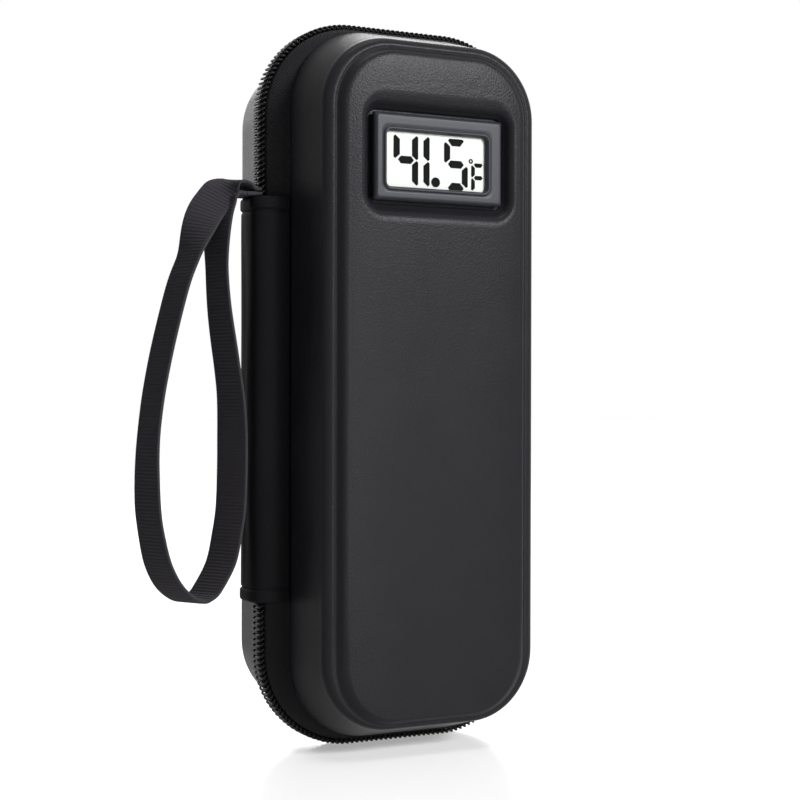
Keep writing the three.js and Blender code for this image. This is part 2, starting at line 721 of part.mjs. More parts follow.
function buildBezel() {
  const full = { side: BEZEL_WIDTH / 2, end: BEZEL_HEIGHT / 2, radius: BEZEL_CORNER };
  const bevelled = {
    side: full.side - BEZEL_CHAMFER,
    end: full.end - BEZEL_CHAMFER,
    radius: BEZEL_CORNER,
  };
  const plate = loft([
    { ...full, y: -BEZEL_BACK },
    { ...full, y: -(BEZEL_FRONT - BEZEL_CHAMFER) },
    { ...bevelled, y: -BEZEL_FRONT },
  ], { centre: atDisplay, steps: 3 });
  const window = slab({
    x: BEZEL_X + WINDOW_X,
    z: BEZEL_Z + WINDOW_Z,
    width: WINDOW_WIDTH,
    height: WINDOW_HEIGHT,
    radius: WINDOW_RADIUS,
    from: -(BEZEL_BACK - OVERRUN),
    to: -(BEZEL_FRONT + OVERRUN),
  });
  const pocket = slab({
    ...atDisplay,
    width: LCD_WIDTH + 2 * CLEARANCE,
    height: LCD_HEIGHT + 2 * CLEARANCE,
    from: -(BEZEL_BACK - OVERRUN),
    to: -(BEZEL_FRONT - BEZEL_FRAME),
  });
  part('display_bezel', cut(plate, window, pocket), 'bezel');
}

function buildDisplayStack() {
  part('lcd_panel', slab({
    ...atDisplay,
    width: LCD_WIDTH,
    height: LCD_HEIGHT,
    from: -LCD_BACK,
    to: -LCD_FRONT,
  }), 'lcd');
  [['upper', 1], ['lower', -1]].forEach(([name, side]) => {
    part(`zebra_strip_${name}`, slab({
      x: BEZEL_X,
      z: BEZEL_Z + side * (LCD_HEIGHT / 2 - ZEBRA.height),
      width: ZEBRA.width,
      height: ZEBRA.height,
      from: -ZEBRA_FRONT,
      to: -(ZEBRA_FRONT - ZEBRA.thickness),
    }), 'rubber');
  });
  part('circuit_board', slab({
    ...atDisplay,
    width: LCD_WIDTH,
    height: LCD_HEIGHT,
    from: -BOARD_FRONT,
    to: -BOARD_BACK,
  }), 'board');
  part('driver_chip', slab({
    x: BEZEL_X,
    z: BEZEL_Z - CELL_RADIUS - CLEARANCE,
    width: CHIP.width,
    height: CHIP.height,
    from: -PARTS_FRONT,
    to: -(PARTS_FRONT - CHIP.thickness),
  }), 'plastic');
  part('tact_switch', slab({
    x: BEZEL_X + SIDE_FITTING_X,
    z: BEZEL_Z,
    width: SWITCH.size,
    height: SWITCH.size,
    from: -PARTS_FRONT,
    to: -(PARTS_FRONT - SWITCH.thickness),
  }), 'plastic');
}

function cellCentres() {
  return [['left', -1], ['right', 1]].map(([name, side]) => ({
    name,
    x: BEZEL_X + side * CELL_PITCH / 2,
    z: BEZEL_Z + CELL_Z,
  }));
}

function cradleSize() {
  return {
    width: CELL_PITCH + 2 * (CELL_RADIUS + CRADLE_MARGIN),
    height: 2 * (CELL_RADIUS + CRADLE_MARGIN),
  };
}

function buildCells() {
  cellCentres().forEach(({ name, x, z }) => {
    part(`coin_cell_${name}`, bar({ x, z, radius: CELL_RADIUS, from: -CELL_FRONT, to: -CELL_BACK }), 'steel');
  });
  const cradleBack = MODULE_INSIDE + CLEARANCE;
  const block = slab({
    x: BEZEL_X,
    z: BEZEL_Z + CELL_Z,
    ...cradleSize(),
    from: -CELL_FRONT,
    to: -cradleBack,
  });
  const bores = cellCentres().map(({ x, z }) => bar({
    x,
    z,
    radius: CELL_RADIUS + CLEARANCE,
    from: -CELL_FRONT - OVERRUN,
    to: -cradleBack + OVERRUN,
  }));
  part('cell_cradle', cut(block, ...bores), 'plastic');

  const contactX = BEZEL_X;
  const contactZ = BEZEL_Z + CELL_Z;
  const leaf = { x: contactX, z: contactZ, width: CONTACT.width, height: CONTACT.height };
  const lowLeaf = slab({
    ...leaf,
    from: -(CELL_FRONT + CLEARANCE),
    to: -(CELL_FRONT + CLEARANCE + CONTACT.sheet),
  });
  const highLeaf = slab({ ...leaf, from: -(PARTS_FRONT - CONTACT.sheet), to: -PARTS_FRONT });
  const web = slab({
    ...leaf,
    z: contactZ + CONTACT.height / 2 - CONTACT.sheet / 2,
    height: CONTACT.sheet,
    from: -(CELL_FRONT + CLEARANCE),
    to: -PARTS_FRONT,
  });
  part('cell_contact', join(lowLeaf, highLeaf, web), 'steel');
}

// Each rail stands on the back of the housing and hooks over an edge of the door
function doorRails() {
  const lipInside = DOOR_OUTSIDE - CLEARANCE;
  const lipOutside = lipInside - DOOR_RAIL.lipThickness;
  const railX = DOOR.width / 2 + CLEARANCE;
  return [-1, 1].flatMap((side) => {
    const web = slab({
      x: BEZEL_X + side * (railX + DOOR_RAIL.width / 2),
      z: BEZEL_Z,
      width: DOOR_RAIL.width,
      height: MODULE_HEIGHT,
      from: -lipOutside,
      to: -(MODULE_BACK_DEPTH + MODULE_WALL / 2),
    });
    const lip = slab({
      x: BEZEL_X + side * (railX + DOOR_RAIL.width / 2 - DOOR_RAIL.lip / 2),
      z: BEZEL_Z,
      width: DOOR_RAIL.width + DOOR_RAIL.lip,
      height: MODULE_HEIGHT,
      from: -lipOutside,
      to: -lipInside,
    });
    return [web, lip];
  });
}

function buildHousing() {
  const box = slab({
    ...atDisplay,
    width: MODULE_WIDTH,
    height: MODULE_HEIGHT,
    from: -MODULE_BACK_DEPTH,
    to: -MODULE_FRONT,
  });
  const inside = slab({
    ...atDisplay,
    width: LCD_WIDTH + 2 * CLEARANCE,
    height: LCD_HEIGHT + 2 * CLEARANCE,
    from: -MODULE_INSIDE,
    to: -(MODULE_FRONT + OVERRUN),
  });
  const cellHole = slab({
    x: BEZEL_X,
    z: BEZEL_Z + CELL_Z,
    width: CELL_PITCH + 2 * (CELL_RADIUS + CLEARANCE),
    height: 2 * (CELL_RADIUS + CLEARANCE),
    from: -(MODULE_BACK_DEPTH - OVERRUN),
    to: -(MODULE_INSIDE + OVERRUN),
  });
  const through = { z: BEZEL_Z, from: -(MODULE_BACK_DEPTH - OVERRUN), to: -(MODULE_INSIDE + OVERRUN) };
  const buttonHole = bar({ ...through, x: BEZEL_X + SIDE_FITTING_X, radius: BUTTON_RADIUS + CLEARANCE });
  const sensorHole = bar({ ...through, x: BEZEL_X - SIDE_FITTING_X, radius: SENSOR_RADIUS + CLEARANCE });
  const tray = cut(box, inside, cellHole, buttonHole, sensorHole);
  part('thermometer_housing', join(tray, ...doorRails()), 'plastic');

  const frameFront = FRONT_FLOOR - CLEARANCE;
  const frame = retainerBlock(0, frameFront - RETAINER_THICKNESS, frameFront);
  const frameHole = moduleCutout(CLEARANCE, frameFront - RETAINER_THICKNESS - OVERRUN, frameFront + OVERRUN);
  part('retaining_frame', cut(frame, frameHole), 'plastic');
}

function buildModuleFittings() {
  const buttonX = BEZEL_X + SIDE_FITTING_X;
  const stemFront = PARTS_FRONT - SWITCH.thickness - CLEARANCE - BUTTON_TRAVEL;
  const stem = bar({
    x: buttonX,
    z: BEZEL_Z,
    radius: BUTTON_RADIUS,
    from: -(MODULE_BACK_DEPTH - BUTTON_PROUD),
    to: -stemFront,
  });
  const collar = bar({
    x: buttonX,
    z: BEZEL_Z,
    radius: BUTTON_COLLAR_RADIUS,
    from: -(MODULE_INSIDE + CLEARANCE),
    to: -(MODULE_INSIDE + CLEARANCE + BUTTON_COLLAR_THICKNESS),
  });
  part('unit_button', join(stem, collar), 'rubber');

  const sensorX = BEZEL_X - SIDE_FITTING_X;
  const sensorBack = MODULE_BACK_DEPTH - SENSOR_PROUD;
  part('temperature_sensor', bar({
    x: sensorX,
    z: BEZEL_Z,
    radius: SENSOR_RADIUS,
    from: -sensorBack,
    to: -(sensorBack + SENSOR_LENGTH),
  }), 'steel');
  const grommetFront = MODULE_BACK_DEPTH - CLEARANCE;
  const grommet = { x: sensorX, z: BEZEL_Z };
  const washer = bar({
    ...grommet,
    radius: GROMMET_RADIUS,
    from: -(grommetFront - GROMMET_THICKNESS),
    to: -grommetFront,
  });
  const bore = bar({
    ...grommet,
    radius: SENSOR_RADIUS + CLEARANCE,
    from: -(grommetFront - GROMMET_THICKNESS - OVERRUN),
    to: -(grommetFront + OVERRUN),
  });
  part('sensor_grommet', cut(washer, bore), 'rubber');

  const doorZ = BEZEL_Z + CELL_Z;
  const leaf = slab({
    x: BEZEL_X,
    z: doorZ,
    width: DOOR.width,
    height: DOOR.height,
    from: -DOOR_OUTSIDE,
    to: -(MODULE_BACK_DEPTH - CLEARANCE),
  });
  const grip = slab({
    x: BEZEL_X,
    z: doorZ - DOOR.height / 4,
    width: DOOR.width / 2,
    height: DOOR.grip * 2,
    from: -(DOOR_OUTSIDE - DOOR.grip),
    to: -(DOOR_OUTSIDE + DOOR.grip),
  });
  part('battery_door', join(leaf, grip), 'plastic');
}

// Cold packs, mesh pocket and pen holder

function coldPack(height, near, far, z) {
  const middle = (near + far) / 2;
  const half = Math.abs(far - near) / 2;
  const facing = Math.sign(far - near);
  const weld = PACK_WELD / 2;
  const full = { side: HALF_WIDTH - PACK_SIDE_INSET, end: height / 2, radius: PACK_RADIUS };
  const inner = offsetStation(full, PACK_WELD_WIDTH, 0);
  const shoulder = offsetStation(full, 2 * PACK_WELD_WIDTH, 0);
  const top = offsetStation(full, 3 * PACK_WELD_WIDTH, 0);
  const rows = [
    [top, -half], [shoulder, -half * PACK_SHOULDER_SHARE], [inner, -weld], [full, -weld],
    [full, weld], [inner, weld], [shoulder, half * PACK_SHOULDER_SHARE], [top, half],
  ];
  const stations = rows.map(([station, offset]) => ({ ...station, y: middle + facing * offset }));
  return loft(stations, { centre: { x: 0, z }, steps: 4 });
}

function pocketWall(depth) {
  const run = (depth - SHELL_START) / (FRONT_RIM.depth - SHELL_START);
  const inset = FRONT_FLANGE.inset + (FRONT_RIM.inset - FRONT_FLANGE.inset) * run;
  return HALF_WIDTH - inset - SHELL_WALL - LINER_THICKNESS - 2 * CLEARANCE;
}

function buildPacks() {
  const frontFar = FRONT_FLOOR - LINER_THICKNESS - 2 * CLEARANCE;
  const bottom = FRONT_RIM.endInset + SHELL_WALL + LINER_THICKNESS + 3 * CLEARANCE;
  const frontHeight = CASE_HEIGHT - FRONT_PACK_DROP - bottom;
  const frontZ = bottom + frontHeight / 2;
  const frontNear = frontFar - FRONT_PACK_THICKNESS;
  part('front_gel_pack', coldPack(frontHeight, -frontNear, -frontFar, frontZ), 'gel');

  const rearNear = PEN_PANEL_Y + PEN_PANEL_THICKNESS + CLEARANCE;
  const rearFar = REAR_FLOOR - LINER_THICKNESS - 2 * CLEARANCE;
  const rearHeight = CASE_HEIGHT - 2 * REAR_PACK_END_INSET;
  part('rear_gel_pack', coldPack(rearHeight, rearNear, rearFar, CENTRE_Z), 'gel');
}

function buildPocket() {
  const halfWidth = pocketWall(POCKET_DEPTH + POCKET_THICKNESS) - CLEARANCE;
  const bottom = FRONT_RIM.endInset + SHELL_WALL + LINER_THICKNESS;
  const full = loft([
    { side: halfWidth, end: CENTRE_Z - bottom, radius: FRONT_RIM.radius - SHELL_WALL, y: -POCKET_DEPTH },
    {
      side: halfWidth,
      end: CENTRE_Z - bottom,
      radius: FRONT_RIM.radius - SHELL_WALL,
      y: -(POCKET_DEPTH + POCKET_THICKNESS),
    },
  ]);
  const above = slab({
    z: POCKET_TOP_Z + CASE_HEIGHT / 2,
    width: CASE_WIDTH,
    height: CASE_HEIGHT,
    from: -(POCKET_DEPTH - OVERRUN),
    to: -(POCKET_DEPTH + POCKET_THICKNESS + OVERRUN),
  });
  part('mesh_pocket', cut(full, above), 'mesh');
  const middle = POCKET_DEPTH + POCKET_THICKNESS / 2;
  part('pocket_binding', slab({
    z: POCKET_TOP_Z + CLEARANCE + BINDING_HEIGHT / 2,
    width: 2 * halfWidth,
    height: BINDING_HEIGHT,
    from: -(middle - BINDING_THICKNESS / 2),
    to: -(middle + BINDING_THICKNESS / 2),
  }), 'elastic');
}

function penPanelStation(y) {
  const run = (PEN_PANEL_Y - SHELL_START) / (REAR_RIM.depth - SHELL_START);
  const inset = REAR_FLANGE.inset + (REAR_RIM.inset - REAR_FLANGE.inset) * run;
  const endInset = REAR_FLANGE.endInset + (REAR_RIM.endInset - REAR_FLANGE.endInset) * run;
  const wall = SHELL_WALL + LINER_THICKNESS + 3 * CLEARANCE;
  return level(inset + wall, endInset + 2 * wall, REAR_RIM.radius - wall, y);
}

function penLoopLine() {
  const foot = PEN_PANEL_Y - CLEARANCE - PEN_LOOP_THICKNESS / 2;
  const radius = PEN_RADIUS + PEN_LOOP_THICKNESS / 2;
  const spring = foot - PEN_RISE;
  const edge = (PEN_COUNT - 1) / 2 * PEN_PITCH + radius + PEN_LOOP_FOOT;
  const line = [new THREE.Vector2(-edge, foot)];
  for (let pen = 0; pen < PEN_COUNT; pen += 1) {
    const centre = (pen - (PEN_COUNT - 1) / 2) * PEN_PITCH;
    line.push(new THREE.Vector2(centre - radius, foot));
    for (let i = 0; i <= PEN_LOOP_STEPS; i += 1) {
      const angle = Math.PI * (1 - i / PEN_LOOP_STEPS);
      const y = spring - radius * Math.sin(angle);
      line.push(new THREE.Vector2(centre + radius * Math.cos(angle), y));
    }
    line.push(new THREE.Vector2(centre + radius, foot));
  }
  line.push(new THREE.Vector2(edge, foot));
  return line;
}

function buildPenHolder() {
  part('pen_panel', loft([
    penPanelStation(PEN_PANEL_Y),
    penPanelStation(PEN_PANEL_Y + PEN_PANEL_THICKNESS),
  ]), 'lining');
  const heights = [['upper', CASE_HEIGHT - PEN_LOOP_UPPER_DROP], ['lower', PEN_LOOP_LOWER_RISE]];
  heights.forEach(([name, z]) => {
    const loops = strip(penLoopLine(), PEN_LOOP_THICKNESS);
    const half = PEN_LOOP_HEIGHT / 2;
    part(`pen_strap_${name}`, riseAlongZ(loops, z - half, z + half), 'elastic');
  });
}

buildShells();
buildZip();
buildSliders();
buildSpine();
buildStrap();
buildBezel();
buildDisplayStack();
buildCells();
buildHousing();
buildModuleFittings();
buildPacks();
buildPocket();
buildPenHolder();

export default caseGroup;
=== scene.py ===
import json
import math

import bmesh
import bpy
import numpy as np
from mathutils import Matrix, Vector, noise

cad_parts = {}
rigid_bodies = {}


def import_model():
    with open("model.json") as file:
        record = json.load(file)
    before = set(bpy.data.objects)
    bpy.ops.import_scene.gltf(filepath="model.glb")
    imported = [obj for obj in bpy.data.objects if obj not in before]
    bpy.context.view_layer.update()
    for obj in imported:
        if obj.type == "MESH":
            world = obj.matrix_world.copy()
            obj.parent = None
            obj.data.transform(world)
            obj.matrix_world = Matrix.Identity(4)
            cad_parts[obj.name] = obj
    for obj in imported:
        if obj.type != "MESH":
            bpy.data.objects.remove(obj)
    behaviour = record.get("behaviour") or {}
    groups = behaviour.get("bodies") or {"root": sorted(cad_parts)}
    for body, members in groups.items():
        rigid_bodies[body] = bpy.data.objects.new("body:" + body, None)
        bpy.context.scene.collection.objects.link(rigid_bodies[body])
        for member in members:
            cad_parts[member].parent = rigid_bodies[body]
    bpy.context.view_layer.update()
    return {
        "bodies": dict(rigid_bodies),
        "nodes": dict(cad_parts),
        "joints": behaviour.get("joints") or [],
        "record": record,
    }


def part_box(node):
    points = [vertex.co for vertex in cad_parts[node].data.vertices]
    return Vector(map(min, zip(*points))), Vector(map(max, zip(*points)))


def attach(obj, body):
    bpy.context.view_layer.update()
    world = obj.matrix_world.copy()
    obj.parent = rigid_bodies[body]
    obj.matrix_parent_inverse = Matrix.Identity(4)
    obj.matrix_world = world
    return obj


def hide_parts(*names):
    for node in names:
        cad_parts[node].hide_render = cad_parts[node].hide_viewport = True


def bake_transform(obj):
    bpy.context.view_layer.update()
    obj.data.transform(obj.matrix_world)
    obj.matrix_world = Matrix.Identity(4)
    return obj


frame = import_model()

# Insulin cooling case. Shapes are worked out in millimetres and become metres in each mesh.
# X is to the viewer's right, -Y to the front, +Z up, as in the frame.

MM = 0.001
nodes = frame["nodes"]
scene = bpy.context.scene


def box_mm(node):
    low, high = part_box(node)
    return np.array(low) / MM, np.array(high) / MM


# Levels read from the frame

LID_LOW, LID_HIGH = box_mm("front_shell")
BACK_LOW, BACK_HIGH = box_mm("rear_shell")
CROWN_LOW, CROWN_HIGH = box_mm("rear_coil")
CENTRE_Z = (CROWN_LOW[2] + CROWN_HIGH[2]) / 2
CROWN_HALF_WIDTH = CROWN_HIGH[0]
CROWN_HALF_HEIGHT = (CROWN_HIGH[2] - CROWN_LOW[2]) / 2
CROWN_RADIUS = 33.0

FLANGE_DEPTH = -LID_HIGH[1]

# flange: half width, half height and corner radius. rim: how far it lies inside the flange at the
# sides and at the ends, its corner radius and its depth.
LID = {
    "facing": -1,
    "flange": ((LID_HIGH[0] - LID_LOW[0]) / 2, (LID_HIGH[2] - LID_LOW[2]) / 2, 27.5),
    "rim": (2.9, 5.3, 23.5, 26.4),
    "face": -LID_LOW[1],
    "floor": 27.0,
}
BACK = {
    "facing": 1,
    "flange": ((BACK_HIGH[0] - BACK_LOW[0]) / 2, (BACK_HIGH[2] - BACK_LOW[2]) / 2, 28.5),
    "rim": (1.1, 5.0, 24.5, 31.6),
    "face": BACK_HIGH[1],
    "floor": 32.8,
}

# The moulded step round each face, as insets with heights. Those of STEP_CREST are over the top of
# the rim's round, those of STEP_FACE over the solid's face. At the top and the foot the step is
# narrower than at the sides.
RIM_ROUND = 3.3
STEP_CREST = [(3.9, -0.12), (4.4, -0.02)]
STEP_FACE = [(5.8, -1.04), (7.0, -0.54), (8.6, -0.38)]
TOP_INSET_SHARE = 0.85
FOOT_INSET_SHARE = 0.5
PLATEAU_DIP = 0.38
PLATEAU_RUN = 4.6
SWELL_SIZE = 26.0
SWELL_REACH = 0.16
STEP_FADE_Z = (14.0, 52.0)
STEP_AT_FOOT_SHARE = 0.2
CORNER_INSET_SHARE = 0.75
SHELL_WALL = 3.4
INNER_ROUND = 2.0


# Camera at the photograph's viewing angle

CAMERA_AZIMUTH = math.radians(-27.39)
CAMERA_ELEVATION = math.radians(0.24)
CAMERA_ROLL = math.radians(0.12)
CAMERA_DISTANCE = 568.11
CAMERA_TARGET = Vector((2.94, 0.0, 116.96))
CAMERA_LENS = 73.515
CAMERA_SENSOR = 36.0


def make_camera():
    flat = math.cos(CAMERA_ELEVATION)
    back = Vector((
        math.sin(CAMERA_AZIMUTH) * flat,
        -math.cos(CAMERA_AZIMUTH) * flat,
        math.sin(CAMERA_ELEVATION),
    ))
    right = Vector((0, 0, 1)).cross(back).normalized()
    up = back.cross(right)
    tilt, turn = math.cos(CAMERA_ROLL), math.sin(CAMERA_ROLL)
    axes = (tilt * right + turn * up, tilt * up - turn * right, back)
    placed = Matrix(axes).transposed().to_4x4()
    placed.translation = (CAMERA_TARGET + back * CAMERA_DISTANCE) * MM
    data = bpy.data.cameras.new("camera")
    data.sensor_width = CAMERA_SENSOR
    data.lens = CAMERA_LENS
    camera = bpy.data.objects.new("camera", data)
    camera.matrix_world = placed
    scene.collection.objects.link(camera)
    scene.camera = camera


# Studio: pale floor, white background, soft lamps

WORLD_LIGHT = 0.06
FLOOR_COLOUR = (0.86, 0.86, 0.86, 1)
FLOOR_GLOW = 0.35
FLOOR_ROUGHNESS = 0.16
FLOOR_SPECULAR = 0.5
FLOOR_HALF = 6000.0
LAMPS = [
    ("lamp_face", (610, -1260, 740), (0, 0, 130), 380, 29.0),
    ("lamp_front", (386, -1346, 130), (0, 0, 130), 300, 3.4),
    ("lamp_back", (500, 1300, 700), (0, 0, 120), 900, 6.0),
    ("lamp_top", (0, -150, 1300), (0, 0, 200), 700, 5.0),
    ("lamp_rear", (-300, 1250, 500), (0, 0, 150), 500, 1.65),
]


def give(tree, socket, value):
    """Links an output to the socket, or sets the socket to a constant."""
    if isinstance(value, bpy.types.NodeSocket):
        tree.links.new(value, socket)
    else:
        socket.default_value = value


def add_node(tree, kind, **values):
    """A node with its settings. An underscore stands for the space in a socket's name."""
    made = tree.nodes.new(kind)
    for key, value in values.items():
        if hasattr(made, key):
            setattr(made, key, value)
        else:
            give(tree, made.inputs[key.replace("_", " ")], value)
    return made


def maths(tree, operation, *values):
    made = add_node(tree, "ShaderNodeMath", operation=operation)
    for socket, value in zip(made.inputs, values):
        give(tree, socket, value)
    return made.outputs[0]


def seen_straight_or_mirrored(tree):
    """1 for rays that show the background to the eye, in a mirror or through glass."""
    path = tree.nodes.new("ShaderNodeLightPath").outputs
    either = maths(tree, "MAXIMUM", path["Is Camera Ray"], path["Is Glossy Ray"])
    return maths(tree, "MAXIMUM", either, path["Is Transmission Ray"])


def make_world():
    world = bpy.data.worlds.new("studio")
    world.use_nodes = True
    scene.world = world
    tree = world.node_tree
    seen = seen_straight_or_mirrored(tree)
    level = add_node(tree, "ShaderNodeMapRange", To_Min=WORLD_LIGHT, To_Max=1.0, Value=seen)
    background = tree.nodes["Background"].inputs
    give(tree, background["Color"], (1, 1, 1, 1))
    give(tree, background["Strength"], level.outputs["Result"])


def make_floor():
    half = FLOOR_HALF * MM
    corners = [(-half, -half, 0), (half, -half, 0), (half, half, 0), (-half, half, 0)]
    mesh = bpy.data.meshes.new("floor")
    mesh.from_pydata(corners, [], [(0, 1, 2, 3)])
    floor = bpy.data.objects.new("floor", mesh)
    scene.collection.objects.link(floor)
    material = bpy.data.materials.new("floor")
    material.use_nodes = True
    tree = material.node_tree
    shader = tree.nodes["Principled BSDF"].inputs
    give(tree, shader["Base Color"], FLOOR_COLOUR)
    give(tree, shader["Roughness"], FLOOR_ROUGHNESS)
    give(tree, shader["Specular IOR Level"], FLOOR_SPECULAR)
    give(tree, shader["Emission Color"], (1, 1, 1, 1))
    glow = maths(tree, "MULTIPLY", seen_straight_or_mirrored(tree), FLOOR_GLOW)
    give(tree, shader["Emission Strength"], glow)
    mesh.materials.append(material)


def make_lamps():
    for name, place, target, size, power in LAMPS:
        data = bpy.data.lights.new(name, "AREA")
        data.shape = "DISK"
        data.size = size * MM
        data.energy = power
        lamp = bpy.data.objects.new(name, data)
        lamp.location = Vector(place) * MM
        aim = (Vector(target) - Vector(place)).to_track_quat("-Z", "Y")
        lamp.rotation_euler = aim.to_euler()
        scene.collection.objects.link(lamp)


# Materials: each is a short tree of nodes with coordinates in millimetres

# The scale at which the bands of Blender's wave texture lie one unit apart
WAVE_SCALE = 0.31416


class Finish:
    """A Principled material whose detail is made from nodes."""

    def __init__(self, name, colour, roughness, metallic=0.0, ior=1.45):
        self.material = bpy.data.materials.new(name)
        self.material.use_nodes = True
        self.tree = self.material.node_tree
        self.shader = self.tree.nodes["Principled BSDF"].inputs
        self.colour = colour
        self.relief = {}
        self.set(Base_Color=(*colour, 1.0), Roughness=roughness, Metallic=metallic, IOR=ior)

    def set(self, **values):
        """Sets or links sockets of the shader. An underscore stands for the space in a name."""
        for key, value in values.items():
            give(self.tree, self.shader[key.replace("_", " ")], value)

    def node(self, kind, **values):
        return add_node(self.tree, kind, **values)

    def place(self, size, kind="Object", turn=0.0, stretch=(1.0, 1.0, 1.0)):
        """Coordinates that grow by 1 for each stretch of that size in millimetres."""
        unit = 1.0 if kind == "UV" else 1.0 / MM
        coordinates = self.node("ShaderNodeTexCoord").outputs[kind]
        scale = [unit * s / size for s in stretch]
        mapping = self.node("ShaderNodeMapping", Scale=scale, Rotation=(0, 0, turn), Vector=coordinates)
        return mapping.outputs[0]

    def noise(self, size, detail=3.0, stretch=(1.0, 1.0, 1.0)):
        place = self.place(size, stretch=stretch)
        return self.node("ShaderNodeTexNoise", Scale=1.0, Detail=detail, Vector=place).outputs["Fac"]

    def cells(self, size, feature="F1"):
        texture = self.node("ShaderNodeTexVoronoi", feature=feature, Scale=1.0, Vector=self.place(size))
        return texture.outputs["Distance"]

    def ribs(self, size, turn=0.0, kind="UV"):
        """Even ridges across the first coordinate, one for each stretch of that size."""
        texture = self.node("ShaderNodeTexWave", Scale=WAVE_SCALE, Vector=self.place(size, kind, turn))
        return texture.outputs["Fac"]

    def mix(self, first, second, share=0.5):
        mixed = self.node("ShaderNodeMix", data_type="FLOAT", Factor=share, A=first, B=second)
        return mixed.outputs["Result"]

    def span(self, value, low, high, start=0.0, end=1.0):
        """The value, spread from between start and end to between low and high."""
        ends = {"From_Min": start, "From_Max": end, "To_Min": low, "To_Max": high}
        return self.node("ShaderNodeMapRange", Value=value, **ends).outputs["Result"]

    def bump(self, height, depth):
        """Adds surface relief of that depth in millimetres."""
        bump = self.node("ShaderNodeBump", Strength=1.0, Distance=depth * MM, Height=height, **self.relief)
        self.relief = {"Normal": bump.outputs["Normal"]}
        self.set(**self.relief)

    def shade(self, value, darker, lighter):
        """Varies the colour from darker to lighter, as shares of it, with a value from 0 to 1."""
        low, high = [(*np.minimum(np.array(self.colour) * share, 1.0), 1.0) for share in (darker, lighter)]
        mixed = self.node("ShaderNodeMix", data_type="RGBA", A=low, B=high, Factor=value)
        self.set(Base_Color=mixed.outputs["Result"])

    def rough(self, value, low, high):
        self.set(Roughness=self.span(value, low, high))


def srgb(red, green, blue):
    """The linear colour of an 8-bit display colour."""
    shares = [channel / 255 for channel in (red, green, blue)]
    return tuple(s / 12.92 if s <= 0.04045 else ((s + 0.055) / 1.055) ** 2.4 for s in shares)


def leather_finish(name, colour, grain=0.62, depth=0.04, ior=1.16, roughness=(0.27, 0.4)):
    finish = Finish(name, colour, 0.45, ior=ior)
    pebbles = finish.cells(grain, "SMOOTH_F1")
    creases = finish.noise(grain * 0.8, 5.0)
    patches = finish.noise(16.0, 3.0)
    finish.shade(finish.mix(patches, creases, 0.45), 0.72, 1.3)
    finish.rough(finish.mix(patches, pebbles, 0.4), *roughness)
    finish.bump(creases, depth * 1.5)
    finish.bump(pebbles, depth)
    return finish.material


def twill_finish(name, colour, pitch=0.62, depth=0.1):
    finish = Finish(name, colour, 0.85, ior=1.06)
    finish.set(Sheen_Weight=0.05, Sheen_Roughness=0.4)
    lines = finish.ribs(pitch, turn=math.radians(42))
    yarn = finish.ribs(pitch * 0.45, turn=math.radians(-40))
    fuzz = finish.noise(0.3, 4.0)
    finish.shade(finish.mix(lines, fuzz, 0.62), 0.5, 1.4)
    finish.bump(lines, depth)
    finish.bump(yarn, depth * 0.35)
    finish.bump(fuzz, depth * 0.4)
    return finish.material


def coil_finish(name, colour):
    finish = Finish(name, colour, 0.4, ior=1.22)
    wear = finish.noise(2.4, 3.0)
    finish.shade(wear, 0.8, 1.2)
    finish.rough(wear, 0.34, 0.5)
    finish.bump(finish.noise(0.2, 3.0), 0.01)
    return finish.material


def webbing_finish(name, colour):
    finish = Finish(name, colour, 0.8, ior=1.08)
    finish.set(Sheen_Weight=0.08, Sheen_Roughness=0.4)
    warp = finish.ribs(0.42, turn=math.radians(90))
    weft = finish.ribs(0.3)
    fuzz = finish.noise(0.35, 4.0)
    finish.shade(finish.mix(warp, fuzz, 0.6), 0.7, 1.3)
    finish.bump(warp, 0.06)
    finish.bump(weft, 0.03)
    finish.bump(fuzz, 0.05)
    return finish.material


def satin_plastic_finish(name, colour, roughness=0.42):
    finish = Finish(name, colour, roughness, ior=1.3)
    haze = finish.noise(6.0, 3.0)
    speckle = finish.noise(0.25, 2.0)
    finish.shade(finish.mix(haze, speckle, 0.4), 0.9, 1.1)
    finish.rough(speckle, roughness - 0.05, roughness + 0.08)
    finish.bump(speckle, 0.012)
    return finish.material


def lcd_finish(name, colour):
    finish = Finish(name, colour, 0.32, ior=1.15)
    haze = finish.noise(18.0, 2.0)
    finish.shade(haze, 0.98, 1.02)
    finish.bump(finish.noise(0.12, 2.0), 0.003)
    return finish.material


def ink_finish(name, colour):
    finish = Finish(name, colour, 0.5, ior=1.1)
    finish.shade(finish.noise(3.0, 2.0), 0.85, 1.15)
    return finish.material


def fabric_finish(name, colour, yarn=0.5, depth=0.06):
    """Knitted or ribbed cloth: ridges along it, loops across them and loose fibre."""
    finish = Finish(name, colour, 0.85, ior=1.2)
    finish.set(Sheen_Weight=0.12, Sheen_Roughness=0.45)
    ridges = finish.ribs(yarn)
    loops = finish.ribs(yarn * 0.7, turn=math.radians(90))
    fuzz = finish.noise(0.3, 4.0)
    finish.shade(finish.mix(finish.mix(ridges, loops), fuzz, 0.5), 0.6, 1.35)
    finish.bump(ridges, depth)
    finish.bump(loops, depth * 0.6)
    finish.bump(fuzz, depth * 0.5)
    return finish.material


def foil_finish(name, colour):
    finish = Finish(name, colour, 0.3, metallic=0.95)
    creases = finish.cells(5.0, "DISTANCE_TO_EDGE")
    fine = finish.cells(1.7, "DISTANCE_TO_EDGE")
    haze = finish.noise(9.0, 3.0)
    finish.shade(haze, 0.88, 1.08)
    finish.rough(finish.mix(haze, fine, 0.4), 0.22, 0.46)
    finish.bump(creases, 0.9)
    finish.bump(fine, 0.25)
    return finish.material


